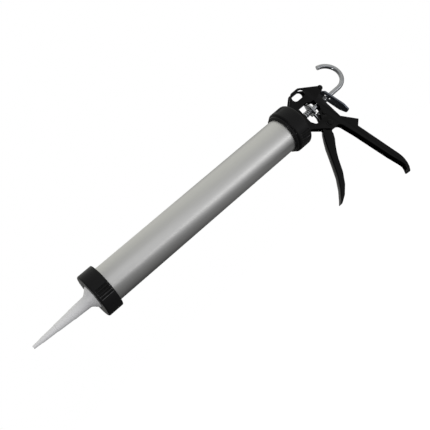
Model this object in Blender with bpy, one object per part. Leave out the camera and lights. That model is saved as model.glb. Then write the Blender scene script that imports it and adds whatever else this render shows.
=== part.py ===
"""Caulking gun with an aluminium barrel, modelled as its separate bench pieces.

The gun frame has its zero on the barrel's axis, at the front rim of the rear cap:
+X runs forward to the nozzle, +Y is the gun's left side and +Z the side of the hook.
Every piece is a child of one empty, which puts the world's zero on the palm face of
the handle. Sizes are in metres.
"""
import math

import bmesh
import bpy
from mathutils import Vector

MM = 0.001

# ---------------------------------------------------------------- driving sizes
CLEARANCE = 0.3 * MM                # between pieces that touch or slide
TUBE_DIAMETER = 53.0 * MM
TUBE_WALL = 1.5 * MM
TUBE_SHOWN = 334.0 * MM             # length between the two caps
ROD_DIAMETER = 7.0 * MM

CAP_WALL = 7.0 * MM                 # from the tube to the cap's outside
REAR_CAP_LENGTH = 28.6 * MM
FRONT_CAP_LENGTH = 24.0 * MM
CAP_LIP = 4.5 * MM                  # inward lip that traps what lies behind it
RIB_GROUPS = 3
GROOVES_IN_GROUP = 4
GROOVE_PITCH = math.radians(7.5)
GROOVE_DEPTH = 1.0 * MM
REAR_CAP_TURN = math.radians(-47)   # middle of one rib group, from +Y towards +Z
FRONT_CAP_TURN = math.radians(-12)

DISC_THICK = 2.5 * MM               # disc that ties the frame to the barrel
SPACER_RADIUS = 21.5 * MM
FLANGE_THICK = 1.8 * MM
FLANGE_RADIUS = 24.0 * MM
RIVET_CIRCLE = 17.0 * MM
RIVET_RADIUS = 2.0 * MM
RIVET_HEAD_RADIUS = 3.6 * MM
RIVET_HEAD = 1.8 * MM
FLANGE_RIVETS = 4

SHEET = 1.6 * MM                    # pressed steel of the frame and the trigger
TRIGGER_WIDTH = 13.2 * MM           # across the finger channel
SHEET_BEND = 2.4 * MM               # outer radius of the folded edges
BOSS_RADIUS = 6.4 * MM
BOSS_HEIGHT = 0.8 * MM

NOZZLE_LENGTH = 97.0 * MM           # in front of the front cap
NOZZLE_WALL = 1.5 * MM
NOZZLE_MOUTH = 17.4 * MM            # radius where it leaves the cap
NOZZLE_NECK = 8.9 * MM
NOZZLE_TIP = 2.4 * MM
NOZZLE_FLANGE = 2.5 * MM
NOZZLE_STEPS = 3
NOZZLE_STEP = 0.4 * MM

SEAL_THICK = 1.2 * MM
CUP_LENGTH = 13.0 * MM
CUP_BASE = 3.0 * MM
CUP_LIP = 2.2 * MM
WASHER_THICK = 2.0 * MM
WASHER_RADIUS = 21.0 * MM
STUD_RADIUS = 3.0 * MM
NUT_FLATS = 10.0 * MM
NUT_HEIGHT = 5.0 * MM

SPRING_WIRE = 1.1 * MM
SPRING_TURNS = 7
SPRING_SLACK = 0.45 * MM            # between the rod and the coil round it
CATCH_SPRING_WIRE = 0.9 * MM
CATCH_SPRING_TURNS = 2.5
DRIVE_PLATE_THICK = 3.0 * MM

CATCH_THICK = 2.5 * MM
CATCH_WIDTH = 19.0 * MM
CATCH_TILT = math.radians(14.8)
CATCH_KNUCKLE = 3.4 * MM
CATCH_PIN = 1.7 * MM

HOOK_RADIUS = 24.0 * MM
HOOK_START_X = -120.5 * MM
HOOK_SWEEP = math.radians(168)
HOOK_LEAN = math.radians(15)        # the rod stands turned by this much

ROUND_STEPS = 72                    # facets round the barrel
SMALL_STEPS = 24
WIRE_SIDES = 8
FACET_TURN = 0.6                    # share of half a facet that cylinders are turned by
SMOOTH_ANGLE = math.radians(35)

# ------------------------------------------------------------- derived stations
TUBE_RADIUS = TUBE_DIAMETER / 2
BORE_RADIUS = TUBE_RADIUS - TUBE_WALL
ROD_RADIUS = ROD_DIAMETER / 2
CAP_RADIUS = TUBE_RADIUS + CAP_WALL
CAP_BORE = TUBE_RADIUS + CLEARANCE
DISC_RADIUS = TUBE_RADIUS - CLEARANCE
ROD_HOLE = ROD_RADIUS + 2 * CLEARANCE

REAR_LIP_X = -REAR_CAP_LENGTH + CAP_LIP
DISC_REAR_X = REAR_LIP_X + CLEARANCE
DISC_FRONT_X = DISC_REAR_X + DISC_THICK
TUBE_REAR_X = DISC_FRONT_X + CLEARANCE
SPACER_FRONT_X = DISC_REAR_X - CLEARANCE
SPACER_REAR_X = -REAR_CAP_LENGTH - CLEARANCE
FLANGE_FRONT_X = SPACER_REAR_X - CLEARANCE
FLANGE_REAR_X = FLANGE_FRONT_X - FLANGE_THICK

FRONT_CAP_REAR_X = TUBE_SHOWN
FRONT_CAP_FACE_X = FRONT_CAP_REAR_X + FRONT_CAP_LENGTH
FRONT_LIP_X = FRONT_CAP_FACE_X - CAP_LIP
NOZZLE_FLANGE_X = FRONT_LIP_X - CLEARANCE
NOZZLE_REAR_X = NOZZLE_FLANGE_X - NOZZLE_FLANGE
SEAL_FRONT_X = NOZZLE_REAR_X - CLEARANCE
SEAL_REAR_X = SEAL_FRONT_X - SEAL_THICK
TUBE_FRONT_X = SEAL_REAR_X - CLEARANCE
NOZZLE_TIP_X = FRONT_CAP_FACE_X + NOZZLE_LENGTH

CUP_FRONT_X = TUBE_FRONT_X - 2 * MM
CUP_REAR_X = CUP_FRONT_X - CUP_LENGTH
CUP_FLOOR_X = CUP_REAR_X + CUP_BASE
REAR_WASHER_X = CUP_REAR_X - CLEARANCE
FRONT_WASHER_X = CUP_FLOOR_X + CLEARANCE + WASHER_THICK
ROD_SHOULDER_X = REAR_WASHER_X - WASHER_THICK - CLEARANCE
NUT_FRONT_X = FRONT_WASHER_X + CLEARANCE + NUT_HEIGHT
STUD_END_X = NUT_FRONT_X + 1.5 * MM

SPRING_MEAN = ROD_RADIUS + SPRING_SLACK + SPRING_WIRE / 2
# Across both cheeks: the frame takes its width from the spring that stands between them.
FRAME_WIDTH = 2 * (SPRING_MEAN + SPRING_WIRE / 2 + CLEARANCE / 2 + SHEET)
CHEEK_OUT = FRAME_WIDTH / 2
CHEEK_IN = CHEEK_OUT - SHEET
ARM_OUT = CHEEK_IN - CLEARANCE
ARM_IN = ARM_OUT - SHEET
FINGER_OUT = TRIGGER_WIDTH / 2

# Places on the frame, as (x, z) pairs.
TRIGGER_PIVOT = (-67.5 * MM, -31.6 * MM)
NOSE = (-65.3 * MM, -12.0 * MM)
STOP_RIVET = (-71.1 * MM, -15.0 * MM)
CATCH_PIVOT = (-95.2 * MM, 17.3 * MM)
REAR_WALL_X = -86.3 * MM
REAR_WALL_TOP = 10.0 * MM
REAR_WEB_TOP = 6.5 * MM             # the folded web ends here, under the catch
GRIP_TOP = (-98.4 * MM, -63.2 * MM)
GRIP_END = (-116.0 * MM, -133.6 * MM)
PALM_SHARE = 0.45                   # where the palm lies on the grip's straight
LOBE_RADIUS = 10.0 * MM
NOSE_ARM_RADIUS = 3.6 * MM
BUSH_RADIUS = 2.4 * MM
SMALL_PIN = 1.6 * MM
PIVOT_RADIUS = 3.0 * MM
PIVOT_HEAD = 4.4 * MM
STOP_HEAD = 3.2 * MM
STOP_RADIUS = 2.0 * MM
HEAD_HEIGHT = 1.5 * MM
PALM = tuple(a + (b - a) * PALM_SHARE for a, b in zip(GRIP_TOP, GRIP_END))

DRIVE_PLATE_REAR_X = NOSE[0] + BUSH_RADIUS + CLEARANCE
DRIVE_PLATE_FRONT_X = DRIVE_PLATE_REAR_X + DRIVE_PLATE_THICK

# -------------------------------------------------------------------- finishes
ALUMINIUM = ((0.60, 0.60, 0.58), 0.34, 1.0)
BLACK_PLASTIC = ((0.022, 0.022, 0.024), 0.42, 0.0)
CLEAR_PLASTIC = ((0.80, 0.81, 0.83), 0.35, 0.0)
BLACK_PAINT = ((0.012, 0.012, 0.013), 0.26, 0.0)
PLATED_STEEL = ((0.66, 0.67, 0.68), 0.22, 1.0)
ZINC_STEEL = ((0.36, 0.39, 0.43), 0.38, 1.0)
WHITE_PLASTIC = ((0.72, 0.73, 0.72), 0.5, 0.0)
SEAL_RUBBER = ((0.03, 0.03, 0.03), 0.7, 0.0)


# --------------------------------------------------------------------- helpers
def clear_scene():
    """Remove every object that the startup scene holds."""
    for obj in list(bpy.data.objects):
        bpy.data.objects.remove(obj, do_unlink=True)


def make_material(name, finish):
    """Return a Principled material from (colour, roughness, metallic)."""
    colour, roughness, metallic = finish
    material = bpy.data.materials.new(name)
    material.use_nodes = True
    shader = material.node_tree.nodes["Principled BSDF"]
    shader.inputs["Base Color"].default_value = (*colour, 1.0)
    shader.inputs["Roughness"].default_value = roughness
    shader.inputs["Metallic"].default_value = metallic
    material.diffuse_color = (*colour, 1.0)
    return material


def add_object(name, bm, finish, root=None, origin=(0, 0, 0)):
    """Turn a bmesh, given in the gun's frame, into an object with that origin."""
    bmesh.ops.remove_doubles(bm, verts=bm.verts, dist=1e-7)
    bmesh.ops.translate(bm, verts=bm.verts, vec=-Vector(origin))
    bmesh.ops.recalc_face_normals(bm, faces=bm.faces)
    mesh = bpy.data.meshes.new(name)
    bm.to_mesh(mesh)
    bm.free()
    mesh.shade_smooth()
    mesh.set_sharp_from_angle(angle=SMOOTH_ANGLE)
    obj = bpy.data.objects.new(name, mesh)
    obj.location = origin
    bpy.context.scene.collection.objects.link(obj)
    if finish is not None:
        mesh.materials.append(make_material(name + "_finish", finish))
    if root is not None:
        obj.parent = root
    return obj


def lathe(outline, steps=ROUND_STEPS):
    """Turn a closed (x, radius) outline about the gun's axis."""
    bm = bmesh.new()
    verts = [bm.verts.new((x, 0.0, r)) for x, r in outline]
    edges = [bm.edges.new(pair) for pair in zip(verts, verts[1:] + verts[:1])
             if pair[0].co.z + pair[1].co.z > 1e-9]
    bmesh.ops.spin(
        bm, geom=verts + edges, cent=(0, 0, 0), axis=(1, 0, 0),
        angle=math.tau, steps=steps, use_merge=True,
    )
    bmesh.ops.remove_doubles(bm, verts=bm.verts, dist=1e-7)
    return bm


def ring(x0, x1, inner, outer, steps=ROUND_STEPS, edge=0.0):
    """Turn a flat ring from x0 to x1, its outer edges eased by edge."""
    if edge:
        outline = [(x0, inner), (x0, outer - edge), (x0 + edge, outer),
                   (x1 - edge, outer), (x1, outer - edge), (x1, inner)]
    else:
        outline = [(x0, inner), (x0, outer), (x1, outer), (x1, inner)]
    return lathe(outline, steps)


def arc(centre, radius, start, end, steps):
    """Points on an arc, angles in degrees, both ends included."""
    points = []
    for step in range(steps + 1):
        angle = math.radians(start + (end - start) * step / steps)
        points.append((centre[0] + radius * math.cos(angle),
                       centre[1] + radius * math.sin(angle)))
    return points


def rounded(corners, steps=4):
    """Round the corners of a closed outline given as (x, y, radius)."""
    points = []
    count = len(corners)
    for index, (x, y, radius) in enumerate(corners):
        here = Vector((x, y))
        before = Vector(corners[index - 1][:2]) - here
        after = Vector(corners[(index + 1) % count][:2]) - here
        if radius <= 0:
            points.append((x, y))
            continue
        half = before.angle(after) / 2
        reach = radius / math.tan(half)
        start = here + before.normalized() * reach
        end = here + after.normalized() * reach
        centre = here + (before.normalized() + after.normalized()).normalized() * (
            radius / math.sin(half))
        first = start - centre
        turn = first.angle_signed(end - centre)
        for step in range(steps + 1):
            angle = -turn * step / steps
            spoke = Vector((first.x * math.cos(angle) - first.y * math.sin(angle),
                            first.x * math.sin(angle) + first.y * math.cos(angle)))
            points.append(tuple(centre + spoke))
    return points


def plate(outline, low, high, plane="xz", eased=None):
    """Extrude an outline between two levels of its plane's normal.

    eased is (test, width, segments): edges round the two flat sides whose middle
    passes the test are bevelled.
    """
    bm = bmesh.new()
    if plane == "xz":
        verts = [bm.verts.new((a, low, b)) for a, b in outline]
        lift = Vector((0, high - low, 0))
    else:
        verts = [bm.verts.new((low, a, b)) for a, b in outline]
        lift = Vector((high - low, 0, 0))
    base = bm.faces.new(verts)
    grown = bmesh.ops.extrude_face_region(bm, geom=[base])
    moved = [item for item in grown["geom"] if isinstance(item, bmesh.types.BMVert)]
    bmesh.ops.translate(bm, verts=moved, vec=lift)
    bmesh.ops.recalc_face_normals(bm, faces=bm.faces)
    if eased:
        test, width, segments = eased
        rim = []
        for edge in bm.edges:
            run = edge.verts[1].co - edge.verts[0].co
            middle = (edge.verts[0].co + edge.verts[1].co) / 2
            if abs(run.dot(lift)) < 1e-12 and test(middle):
                rim.append(edge)
        bmesh.ops.bevel(bm, geom=rim, offset=width, segments=segments, profile=0.5,
                        affect="EDGES", clamp_overlap=True)
    return bm


def cylinder(centre, radius, low, high, axis="y", steps=SMALL_STEPS):
    """A plain cylinder along Y or X, centre given in the other two axes."""
    plane = "xz" if axis == "y" else "yz"
    first = 180 / steps * FACET_TURN
    outline = arc(centre, radius, first, first + 360 - 360 / steps, steps - 1)
    return plate(outline, low, high, plane)


def rivet(centre, shank, head, low, high, axis="y", head_height=HEAD_HEIGHT):
    """A solid rivet: a shank from low to high with a domed head past each end."""
    profile = [(low - head_height, 0.0), (low - head_height, head * 0.55),
               (low - head_height * 0.45, head * 0.92), (low, head), (low, shank),
               (high, shank), (high, head), (high + head_height * 0.45, head * 0.92),
               (high + head_height, head * 0.55), (high + head_height, 0.0)]
    bm = lathe(profile, SMALL_STEPS)
    for vert in bm.verts:
        along, first, second = vert.co
        if axis == "y":
            vert.co = Vector((centre[0] + first, along, centre[1] + second))
        else:
            vert.co = Vector((along, centre[0] + first, centre[1] + second))
    return bm


def modify(obj, operation, cutters):
    """Join or cut an object with bmeshes through exact Booleans, kept as modifiers."""
    for index, bm in enumerate(cutters):
        cutter = add_object(f"{obj.name}_{operation.lower()}_{index}", bm, None)
        cutter.parent = obj.parent
        cutter.hide_render = True
        cutter.display_type = "WIRE"
        change = obj.modifiers.new(cutter.name, "BOOLEAN")
        change.operation = operation
        change.solver = "EXACT"
        change.object = cutter
    return obj


def sweep(path, radius, sides=WIRE_SIDES, ball=False):
    """A round wire along a path of points, with flat or ball ends."""
    bm = bmesh.new()
    loops = []
    previous = None
    for index, point in enumerate(path):
        ahead = path[min(index + 1, len(path) - 1)]
        behind = path[max(index - 1, 0)]
        tangent = (ahead - behind).normalized()
        if previous is None:
            guess = Vector((0, 1, 0)) if abs(tangent.y) < 0.8 else Vector((0, 0, 1))
        else:
            guess = previous
        normal = (guess - tangent * guess.dot(tangent)).normalized()
        previous = normal
        side = tangent.cross(normal)
        loop = []
        for turn in range(sides):
            angle = math.tau * turn / sides
            spoke = normal * math.cos(angle) + side * math.sin(angle)
            loop.append(bm.verts.new(point + spoke * radius))
        loops.append(loop)
    for loop, following in zip(loops, loops[1:]):
        for index in range(sides):
            after = (index + 1) % sides
            bm.faces.new((loop[index], loop[after], following[after], following[index]))
    first_cap = bm.faces.new(list(reversed(loops[0])))
    last_cap = bm.faces.new(loops[-1])
    if ball:
        bmesh.ops.bevel(bm, geom=list(last_cap.edges), offset=radius * 0.55, segments=3,
                        profile=0.5, affect="EDGES", clamp_overlap=True)
    else:
        first_cap.smooth = False
    return bm


def coil(x0, x1, mean_radius, wire, turns, per_turn=14):
    """Path of a compression spring round the gun's axis, with closed end turns."""
    low = min(x0, x1) + wire / 2
    high = max(x0, x1) - wire / 2
    total = turns + 2
    steps = int(total * per_turn)
    dead = wire * 1.15
    path = []
    for step in range(steps + 1):
        turn = total * step / steps
        if turn < 1:
            x = low + dead * turn
        elif turn > total - 1:
            x = high - dead * (total - turn)
        else:
            x = low + dead + (high - low - 2 * dead) * (turn - 1) / turns
        angle = math.tau * turn
        path.append(Vector((x, mean_radius * math.cos(angle),
                            mean_radius * math.sin(angle))))
    return path


# ------------------------------------------------------------------ the barrel
def build_barrel(root):
    """Aluminium tube, the two screwed caps, the nozzle and its seal."""
    tube = ring(TUBE_REAR_X, TUBE_FRONT_X, BORE_RADIUS, TUBE_RADIUS, edge=0.4 * MM)
    add_object("barrel_tube", tube, ALUMINIUM, root)

    rear_outside = [(0.0, TUBE_RADIUS + 3.2 * MM), (-1.0 * MM, TUBE_RADIUS + 4.2 * MM),
                    (-3.4 * MM, TUBE_RADIUS + 4.7 * MM)]
    rear_outside += arc((-8.5 * MM, CAP_RADIUS - 4.2 * MM), 4.2 * MM, 36, 90, 4)
    rear_edge = -REAR_CAP_LENGTH + 5 * MM
    rear_outside += arc((rear_edge, CAP_RADIUS - 5 * MM), 5 * MM, 90, 180, 5)
    rear_inside = [(-REAR_CAP_LENGTH, SPACER_RADIUS + 2 * CLEARANCE),
                   (REAR_LIP_X, SPACER_RADIUS + 2 * CLEARANCE),
                   (REAR_LIP_X, CAP_BORE), (0.0, CAP_BORE)]
    rear_grooves = (-REAR_CAP_LENGTH + 4 * MM, -9.5 * MM)
    rear_cap = ribbed_cap(rear_outside + rear_inside, rear_grooves, REAR_CAP_TURN)
    add_object("rear_cap", rear_cap, BLACK_PLASTIC, root)

    back = FRONT_CAP_REAR_X
    face = FRONT_CAP_FACE_X
    front_radius = CAP_RADIUS - 0.3 * MM
    front_inside = [(back, CAP_BORE), (FRONT_LIP_X, CAP_BORE),
                    (FRONT_LIP_X, NOZZLE_MOUTH + 2 * CLEARANCE),
                    (face, NOZZLE_MOUTH + 2 * CLEARANCE)]
    front_outside = arc((face - 2.4 * MM, front_radius - 2.4 * MM), 2.4 * MM, 0, 90, 4)
    front_outside += [(back + 1.2 * MM, front_radius), (back, front_radius - 1.2 * MM)]
    front_grooves = (back + 2.2 * MM, face - 3.4 * MM)
    front_cap = ribbed_cap(front_inside + front_outside, front_grooves, FRONT_CAP_TURN)
    add_object("front_cap", front_cap, BLACK_PLASTIC, root)

    add_object("nozzle", lathe(nozzle_outline(), 48), CLEAR_PLASTIC, root)
    seal = ring(SEAL_REAR_X, SEAL_FRONT_X, BORE_RADIUS, DISC_RADIUS, 48)
    add_object("nozzle_seal", seal, SEAL_RUBBER, root)


def nozzle_outline():
    """Closed (x, radius) outline of the nozzle, open from end to end."""
    face = FRONT_CAP_FACE_X
    cone_end = face + (NOZZLE_MOUTH - NOZZLE_NECK)
    neck_end = cone_end + 3 * MM
    outside = [(NOZZLE_REAR_X, DISC_RADIUS), (NOZZLE_FLANGE_X, DISC_RADIUS),
               (NOZZLE_FLANGE_X, NOZZLE_MOUTH), (face, NOZZLE_MOUTH),
               (cone_end - 1.0 * MM, NOZZLE_NECK + 1.0 * MM),
               (cone_end + 0.6 * MM, NOZZLE_NECK + 0.15 * MM), (neck_end, NOZZLE_NECK)]
    run = NOZZLE_TIP_X - neck_end
    drop = NOZZLE_NECK - NOZZLE_TIP - NOZZLE_STEPS * NOZZLE_STEP
    for step in range(1, NOZZLE_STEPS + 1):
        share = step / (NOZZLE_STEPS + 0.5)
        x = neck_end + run * share
        radius = NOZZLE_NECK - drop * share - NOZZLE_STEP * (step - 1)
        outside += [(x, radius), (x + NOZZLE_STEP, radius - NOZZLE_STEP)]
    outside += [(NOZZLE_TIP_X, NOZZLE_TIP)]
    inside = [(NOZZLE_TIP_X, NOZZLE_TIP - NOZZLE_WALL * 0.7),
              (neck_end, NOZZLE_NECK - NOZZLE_WALL),
              (cone_end - NOZZLE_WALL, NOZZLE_NECK - NOZZLE_WALL + 0.6 * MM),
              (face - NOZZLE_WALL, NOZZLE_MOUTH - NOZZLE_WALL * 0.6),
              (NOZZLE_REAR_X, NOZZLE_MOUTH - NOZZLE_WALL * 0.6)]
    return outside + inside


def ribbed_cap(outline, grooves, turn):
    """Turn a cap whose outside carries groups of grooves along the axis.

    outline is the closed (x, radius) section, grooves the (x0, x1) reach of the
    grooves, and turn the angle of the middle of the first group.
    """
    ease = 0.8 * MM
    deepest = CAP_RADIUS - GROOVE_DEPTH
    ends = sorted(grooves)
    marks = [(ends[0], 0.0), (ends[0] + ease, 1.0), (ends[1] - ease, 1.0), (ends[1], 0.0)]
    top = max(radius for _, radius in outline)
    spot = next(index for index, (_, radius) in enumerate(outline)
                if abs(radius - top) < 1e-9
                and abs(outline[index + 1][1] - top) < 1e-9)
    forward = outline[spot + 1][0] > outline[spot][0]
    ordered = marks if forward else marks[::-1]
    section = [(x, r, 0.0) for x, r in outline[:spot + 1]]
    section += [(x, top, share) for x, share in ordered]
    section += [(x, r, 0.0) for x, r in outline[spot + 1:]]

    bm = bmesh.new()
    loops = []
    for angle, cut in groove_angles(turn):
        loop = []
        for x, radius, share in section:
            cut_radius = radius - share * cut * (top - deepest)
            loop.append(bm.verts.new((x, cut_radius * math.cos(angle),
                                      cut_radius * math.sin(angle))))
        loops.append(loop)
    count = len(section)
    for loop, following in zip(loops, loops[1:] + loops[:1]):
        for index in range(count):
            after = (index + 1) % count
            bm.faces.new((loop[index], following[index], following[after], loop[after]))
    return bm


def groove_angles(turn):
    """Angles round a cap, each with the share of the groove depth cut there."""
    angles = []
    sector = math.tau / RIB_GROUPS
    group = GROOVE_PITCH * GROOVES_IN_GROUP
    shape = ((0.0, 0.0), (0.2, 1.0), (0.5, 1.0), (0.7, 0.0))
    pad_steps = 11
    for sector_index in range(RIB_GROUPS):
        start = turn + sector * sector_index - group / 2
        for groove in range(GROOVES_IN_GROUP):
            for place, cut in shape:
                angles.append((start + GROOVE_PITCH * (groove + place), cut))
        pad = sector - group
        for step in range(pad_steps):
            angles.append((start + group + pad * step / pad_steps, 0.0))
    return angles


# ---------------------------------------------------------- barrel to the frame
def build_joint_stack(root):
    """Disc in the barrel's end, spacer in the cap's lip and the rivets through them."""
    rivet_spots = []
    for index in range(FLANGE_RIVETS):
        angle = math.tau * (index + 0.5) / FLANGE_RIVETS
        rivet_spots.append((RIVET_CIRCLE * math.cos(angle), RIVET_CIRCLE * math.sin(angle)))

    def holes(x0, x1):
        margin = 1 * MM
        return [cylinder(spot, RIVET_RADIUS + CLEARANCE, x0 - margin, x1 + margin, "x", 16)
                for spot in rivet_spots]

    disc = add_object(
        "flange_disc", ring(DISC_REAR_X, DISC_FRONT_X, ROD_HOLE, DISC_RADIUS, 48),
        PLATED_STEEL, root)
    modify(disc, "DIFFERENCE", holes(DISC_REAR_X, DISC_FRONT_X))
    spacer = add_object(
        "hub_spacer", ring(SPACER_REAR_X, SPACER_FRONT_X, ROD_HOLE, SPACER_RADIUS, 48),
        BLACK_PLASTIC, root)
    modify(spacer, "DIFFERENCE", holes(SPACER_REAR_X, SPACER_FRONT_X))
    for index, spot in enumerate(rivet_spots, start=1):
        body = rivet(spot, RIVET_RADIUS, RIVET_HEAD_RADIUS, FLANGE_REAR_X - CLEARANCE,
                     DISC_FRONT_X + CLEARANCE, "x", RIVET_HEAD)
        add_object(f"flange_rivet_{index}", body, PLATED_STEEL, root)
    return holes


# -------------------------------------------------------------------- the frame
def grip_back():
    """The frame's rear line from the top of its rear wall to the handle's tip."""
    return [(REAR_WALL_X, REAR_WALL_TOP), (REAR_WALL_X, -8 * MM), (-87.0 * MM, -20 * MM),
            (-88.0 * MM, -34.5 * MM), (-107.0 * MM, -55.8 * MM),
            GRIP_TOP, GRIP_END,
            (-117.0 * MM, -139.0 * MM), (-117.2 * MM, -145.0 * MM),
            (-116.3 * MM, -152.0 * MM), (-114.0 * MM, -158.6 * MM),
            (-110.8 * MM, -163.4 * MM)]


def inset_line(points, distance):
    """Shift an open line towards its left-hand side, corner by corner."""
    shifted = []
    for index, point in enumerate(points):
        here = Vector(point)
        before = here - Vector(points[index - 1]) if index else None
        after = Vector(points[index + 1]) - here if index < len(points) - 1 else None
        runs = [run.normalized() for run in (before, after) if run is not None]
        lefts = [Vector((-run.y, run.x)) for run in runs]
        middle = sum(lefts, Vector((0.0, 0.0))).normalized()
        reach = distance / max(middle.dot(lefts[0]), 0.3)
        shifted.append(tuple(here + middle * reach))
    return shifted


def frame_outline():
    """Closed (x, z) outline of a cheek with the handle below it."""
    front_x = FLANGE_REAR_X + FLANGE_THICK / 2
    tip = [(-108.2 * MM, -164.6 * MM), (-107.2 * MM, -163.0 * MM),
           (-109.6 * MM, -158.0 * MM), (-110.6 * MM, -153.0 * MM),
           (-109.9 * MM, -148.4 * MM)]
    front = [(-103.2 * MM, -127.6 * MM), (-87.7 * MM, -69.6 * MM),
             (-80.6 * MM, -47.6 * MM), (-78.6 * MM, -44.4 * MM), (-75.6 * MM, -42.2 * MM)]
    lobe = arc(TRIGGER_PIVOT, LOBE_RADIUS, 262, 300, 4)
    lower = [(-41.6 * MM, -23.6 * MM), (front_x, -18.4 * MM), (front_x, 20.6 * MM)]
    upper = [(-38.4 * MM, 27.2 * MM), (-51.2 * MM, 37.6 * MM), (-52.8 * MM, 38.3 * MM),
             (-65.4 * MM, 38.3 * MM), (-67.2 * MM, 37.7 * MM)]
    ear = arc(CATCH_PIVOT, 4.2 * MM, 76, 262, 8)
    back_top = [(-91.0 * MM, 11.6 * MM)]
    return grip_back() + tip + front + lobe + lower + upper + ear + back_top


def frame_window():
    """Opening in both cheeks round the rod and its spring."""
    return rounded([(-44.5 * MM, 13.8 * MM, 2.5 * MM), (-61.5 * MM, 13.8 * MM, 3 * MM),
                    (-67.5 * MM, 9.6 * MM, 3 * MM), (-73.6 * MM, 9.6 * MM, 2.5 * MM),
                    (-73.6 * MM, -7.8 * MM, 3 * MM), (-66.6 * MM, -9.2 * MM, 2 * MM),
                    (-61.0 * MM, -20.8 * MM, 3 * MM), (-49.5 * MM, -20.8 * MM, 4 * MM),
                    (-44.5 * MM, -13.0 * MM, 4 * MM)])


def build_frame(root, rivet_holes):
    """Folded steel frame: two cheeks, rear wall, handle and the welded flange."""
    back = grip_back()
    bent = back[:-1]

    def on_fold(middle):
        return any((Vector((middle.x, middle.z))
                    - (Vector(a) + Vector(b)) / 2).length < 0.2 * MM
                   for a, b in zip(bent, back[1:]))

    body = plate(frame_outline(), -CHEEK_OUT, CHEEK_OUT,
                 eased=(on_fold, SHEET_BEND, 3))
    frame = add_object("frame_body", body, BLACK_PAINT, root)

    far = 20 * MM
    inner = inset_line(back, SHEET)
    cavity = [(inner[0][0] - far, 4 * far), (inner[0][0] - far, REAR_WEB_TOP),
              (inner[0][0], REAR_WEB_TOP)]
    cavity += inner[1:-1]
    cavity += [(inner[-1][0] + 0.6 * MM, inner[-1][1] + SHEET), (0.0, inner[-1][1] + SHEET),
               (0.0, 4 * far)]
    modify(frame, "DIFFERENCE", [plate(cavity, -CHEEK_IN, CHEEK_IN)])

    flange = ring(FLANGE_REAR_X, FLANGE_FRONT_X, ROD_HOLE, FLANGE_RADIUS, 48)
    bosses = []
    for side in (-1, 1):
        inside = side * (CHEEK_OUT - SHEET / 2)
        outside = side * (CHEEK_OUT + BOSS_HEIGHT)
        bosses.append(cylinder(TRIGGER_PIVOT, BOSS_RADIUS, min(inside, outside),
                               max(inside, outside), steps=32))
    modify(frame, "UNION", [flange] + bosses)

    through = CHEEK_OUT + 5 * MM
    slot = rounded([(-47.5 * MM, 23.2 * MM, 5.6 * MM), (-47.5 * MM, 34.6 * MM, 5.6 * MM),
                    (-71.0 * MM, 34.6 * MM, 5.6 * MM), (-71.0 * MM, 23.2 * MM, 5.6 * MM)], 6)
    cuts = [plate(slot, -through, through), plate(frame_window(), -through, through),
            cylinder(TRIGGER_PIVOT, PIVOT_RADIUS + CLEARANCE, -through, through),
            cylinder(STOP_RIVET, STOP_RADIUS + CLEARANCE, -through, through),
            cylinder(CATCH_PIVOT, CATCH_PIN + CLEARANCE, -through, through),
            cylinder((0, 0), ROD_RADIUS + 1 * MM, REAR_WALL_X - far / 4,
                     REAR_WALL_X + far / 4, "x")]
    cuts += rivet_holes(FLANGE_REAR_X, FLANGE_FRONT_X)
    modify(frame, "DIFFERENCE", cuts)

    add_object("trigger_pivot",
               rivet(TRIGGER_PIVOT, PIVOT_RADIUS, PIVOT_HEAD,
                     -CHEEK_OUT - BOSS_HEIGHT - CLEARANCE, CHEEK_OUT + BOSS_HEIGHT + CLEARANCE),
               PLATED_STEEL, root)
    add_object("stop_rivet",
               rivet(STOP_RIVET, STOP_RADIUS, STOP_HEAD, -CHEEK_OUT - CLEARANCE,
                     CHEEK_OUT + CLEARANCE),
               PLATED_STEEL, root)


# ------------------------------------------------------------------ the trigger
def finger_stations():
    """Stations down the finger channel: front point, rear point, half width."""
    front = [(-50.4, -35.2), (-47.2, -38.6), (-42.6, -46.2), (-36.4, -57.4), (-30.8, -69.4),
             (-25.3, -81.2), (-16.4, -99.3), (-5.8, -114.7), (4.1, -126.0), (9.6, -131.8)]
    rear = [(-62.0, -38.0), (-60.0, -47.6), (-55.2, -55.0), (-48.9, -62.0), (-42.8, -70.4),
            (-37.1, -79.5), (-27.6, -98.4), (-16.4, -113.9), (-4.4, -124.9), (6.6, -131.0)]
    narrow_until = 1
    widen_over = 2
    stations = []
    for index, (near, away) in enumerate(zip(front, rear)):
        share = min(max((index - narrow_until) / widen_over, 0.0), 1.0)
        width = ARM_OUT + (FINGER_OUT - ARM_OUT) * share
        stations.append((Vector(near) * MM, Vector(away) * MM, width))
    return stations


def channel_loop(bm, front, rear, half_width):
    """One U-shaped section of the finger channel, web at the front point."""
    run = rear - front
    depth = run.length
    along = run.normalized()
    bend = min(SHEET_BEND, depth * 0.6)
    outer = [(depth, half_width), (bend, half_width)]
    for step in range(1, 4):
        angle = math.pi / 2 * step / 3
        outer.append((bend - bend * math.sin(angle),
                      half_width - bend + bend * math.cos(angle)))
    outer += [(u, -v) for u, v in reversed(outer)]
    inner = []
    for step in range(4):
        angle = math.pi / 2 * step / 3
        hollow = bend - SHEET
        inner.append((bend - hollow * math.cos(angle),
                      -(half_width - bend) - hollow * math.sin(angle)))
    inner.append((depth, -(half_width - SHEET)))
    inner = [(u, -v) for u, v in reversed(inner)] + inner
    loop = []
    for u, v in outer + inner[::-1]:
        place = front + along * u
        loop.append(bm.verts.new((place.x, v, place.y)))
    return loop


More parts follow.
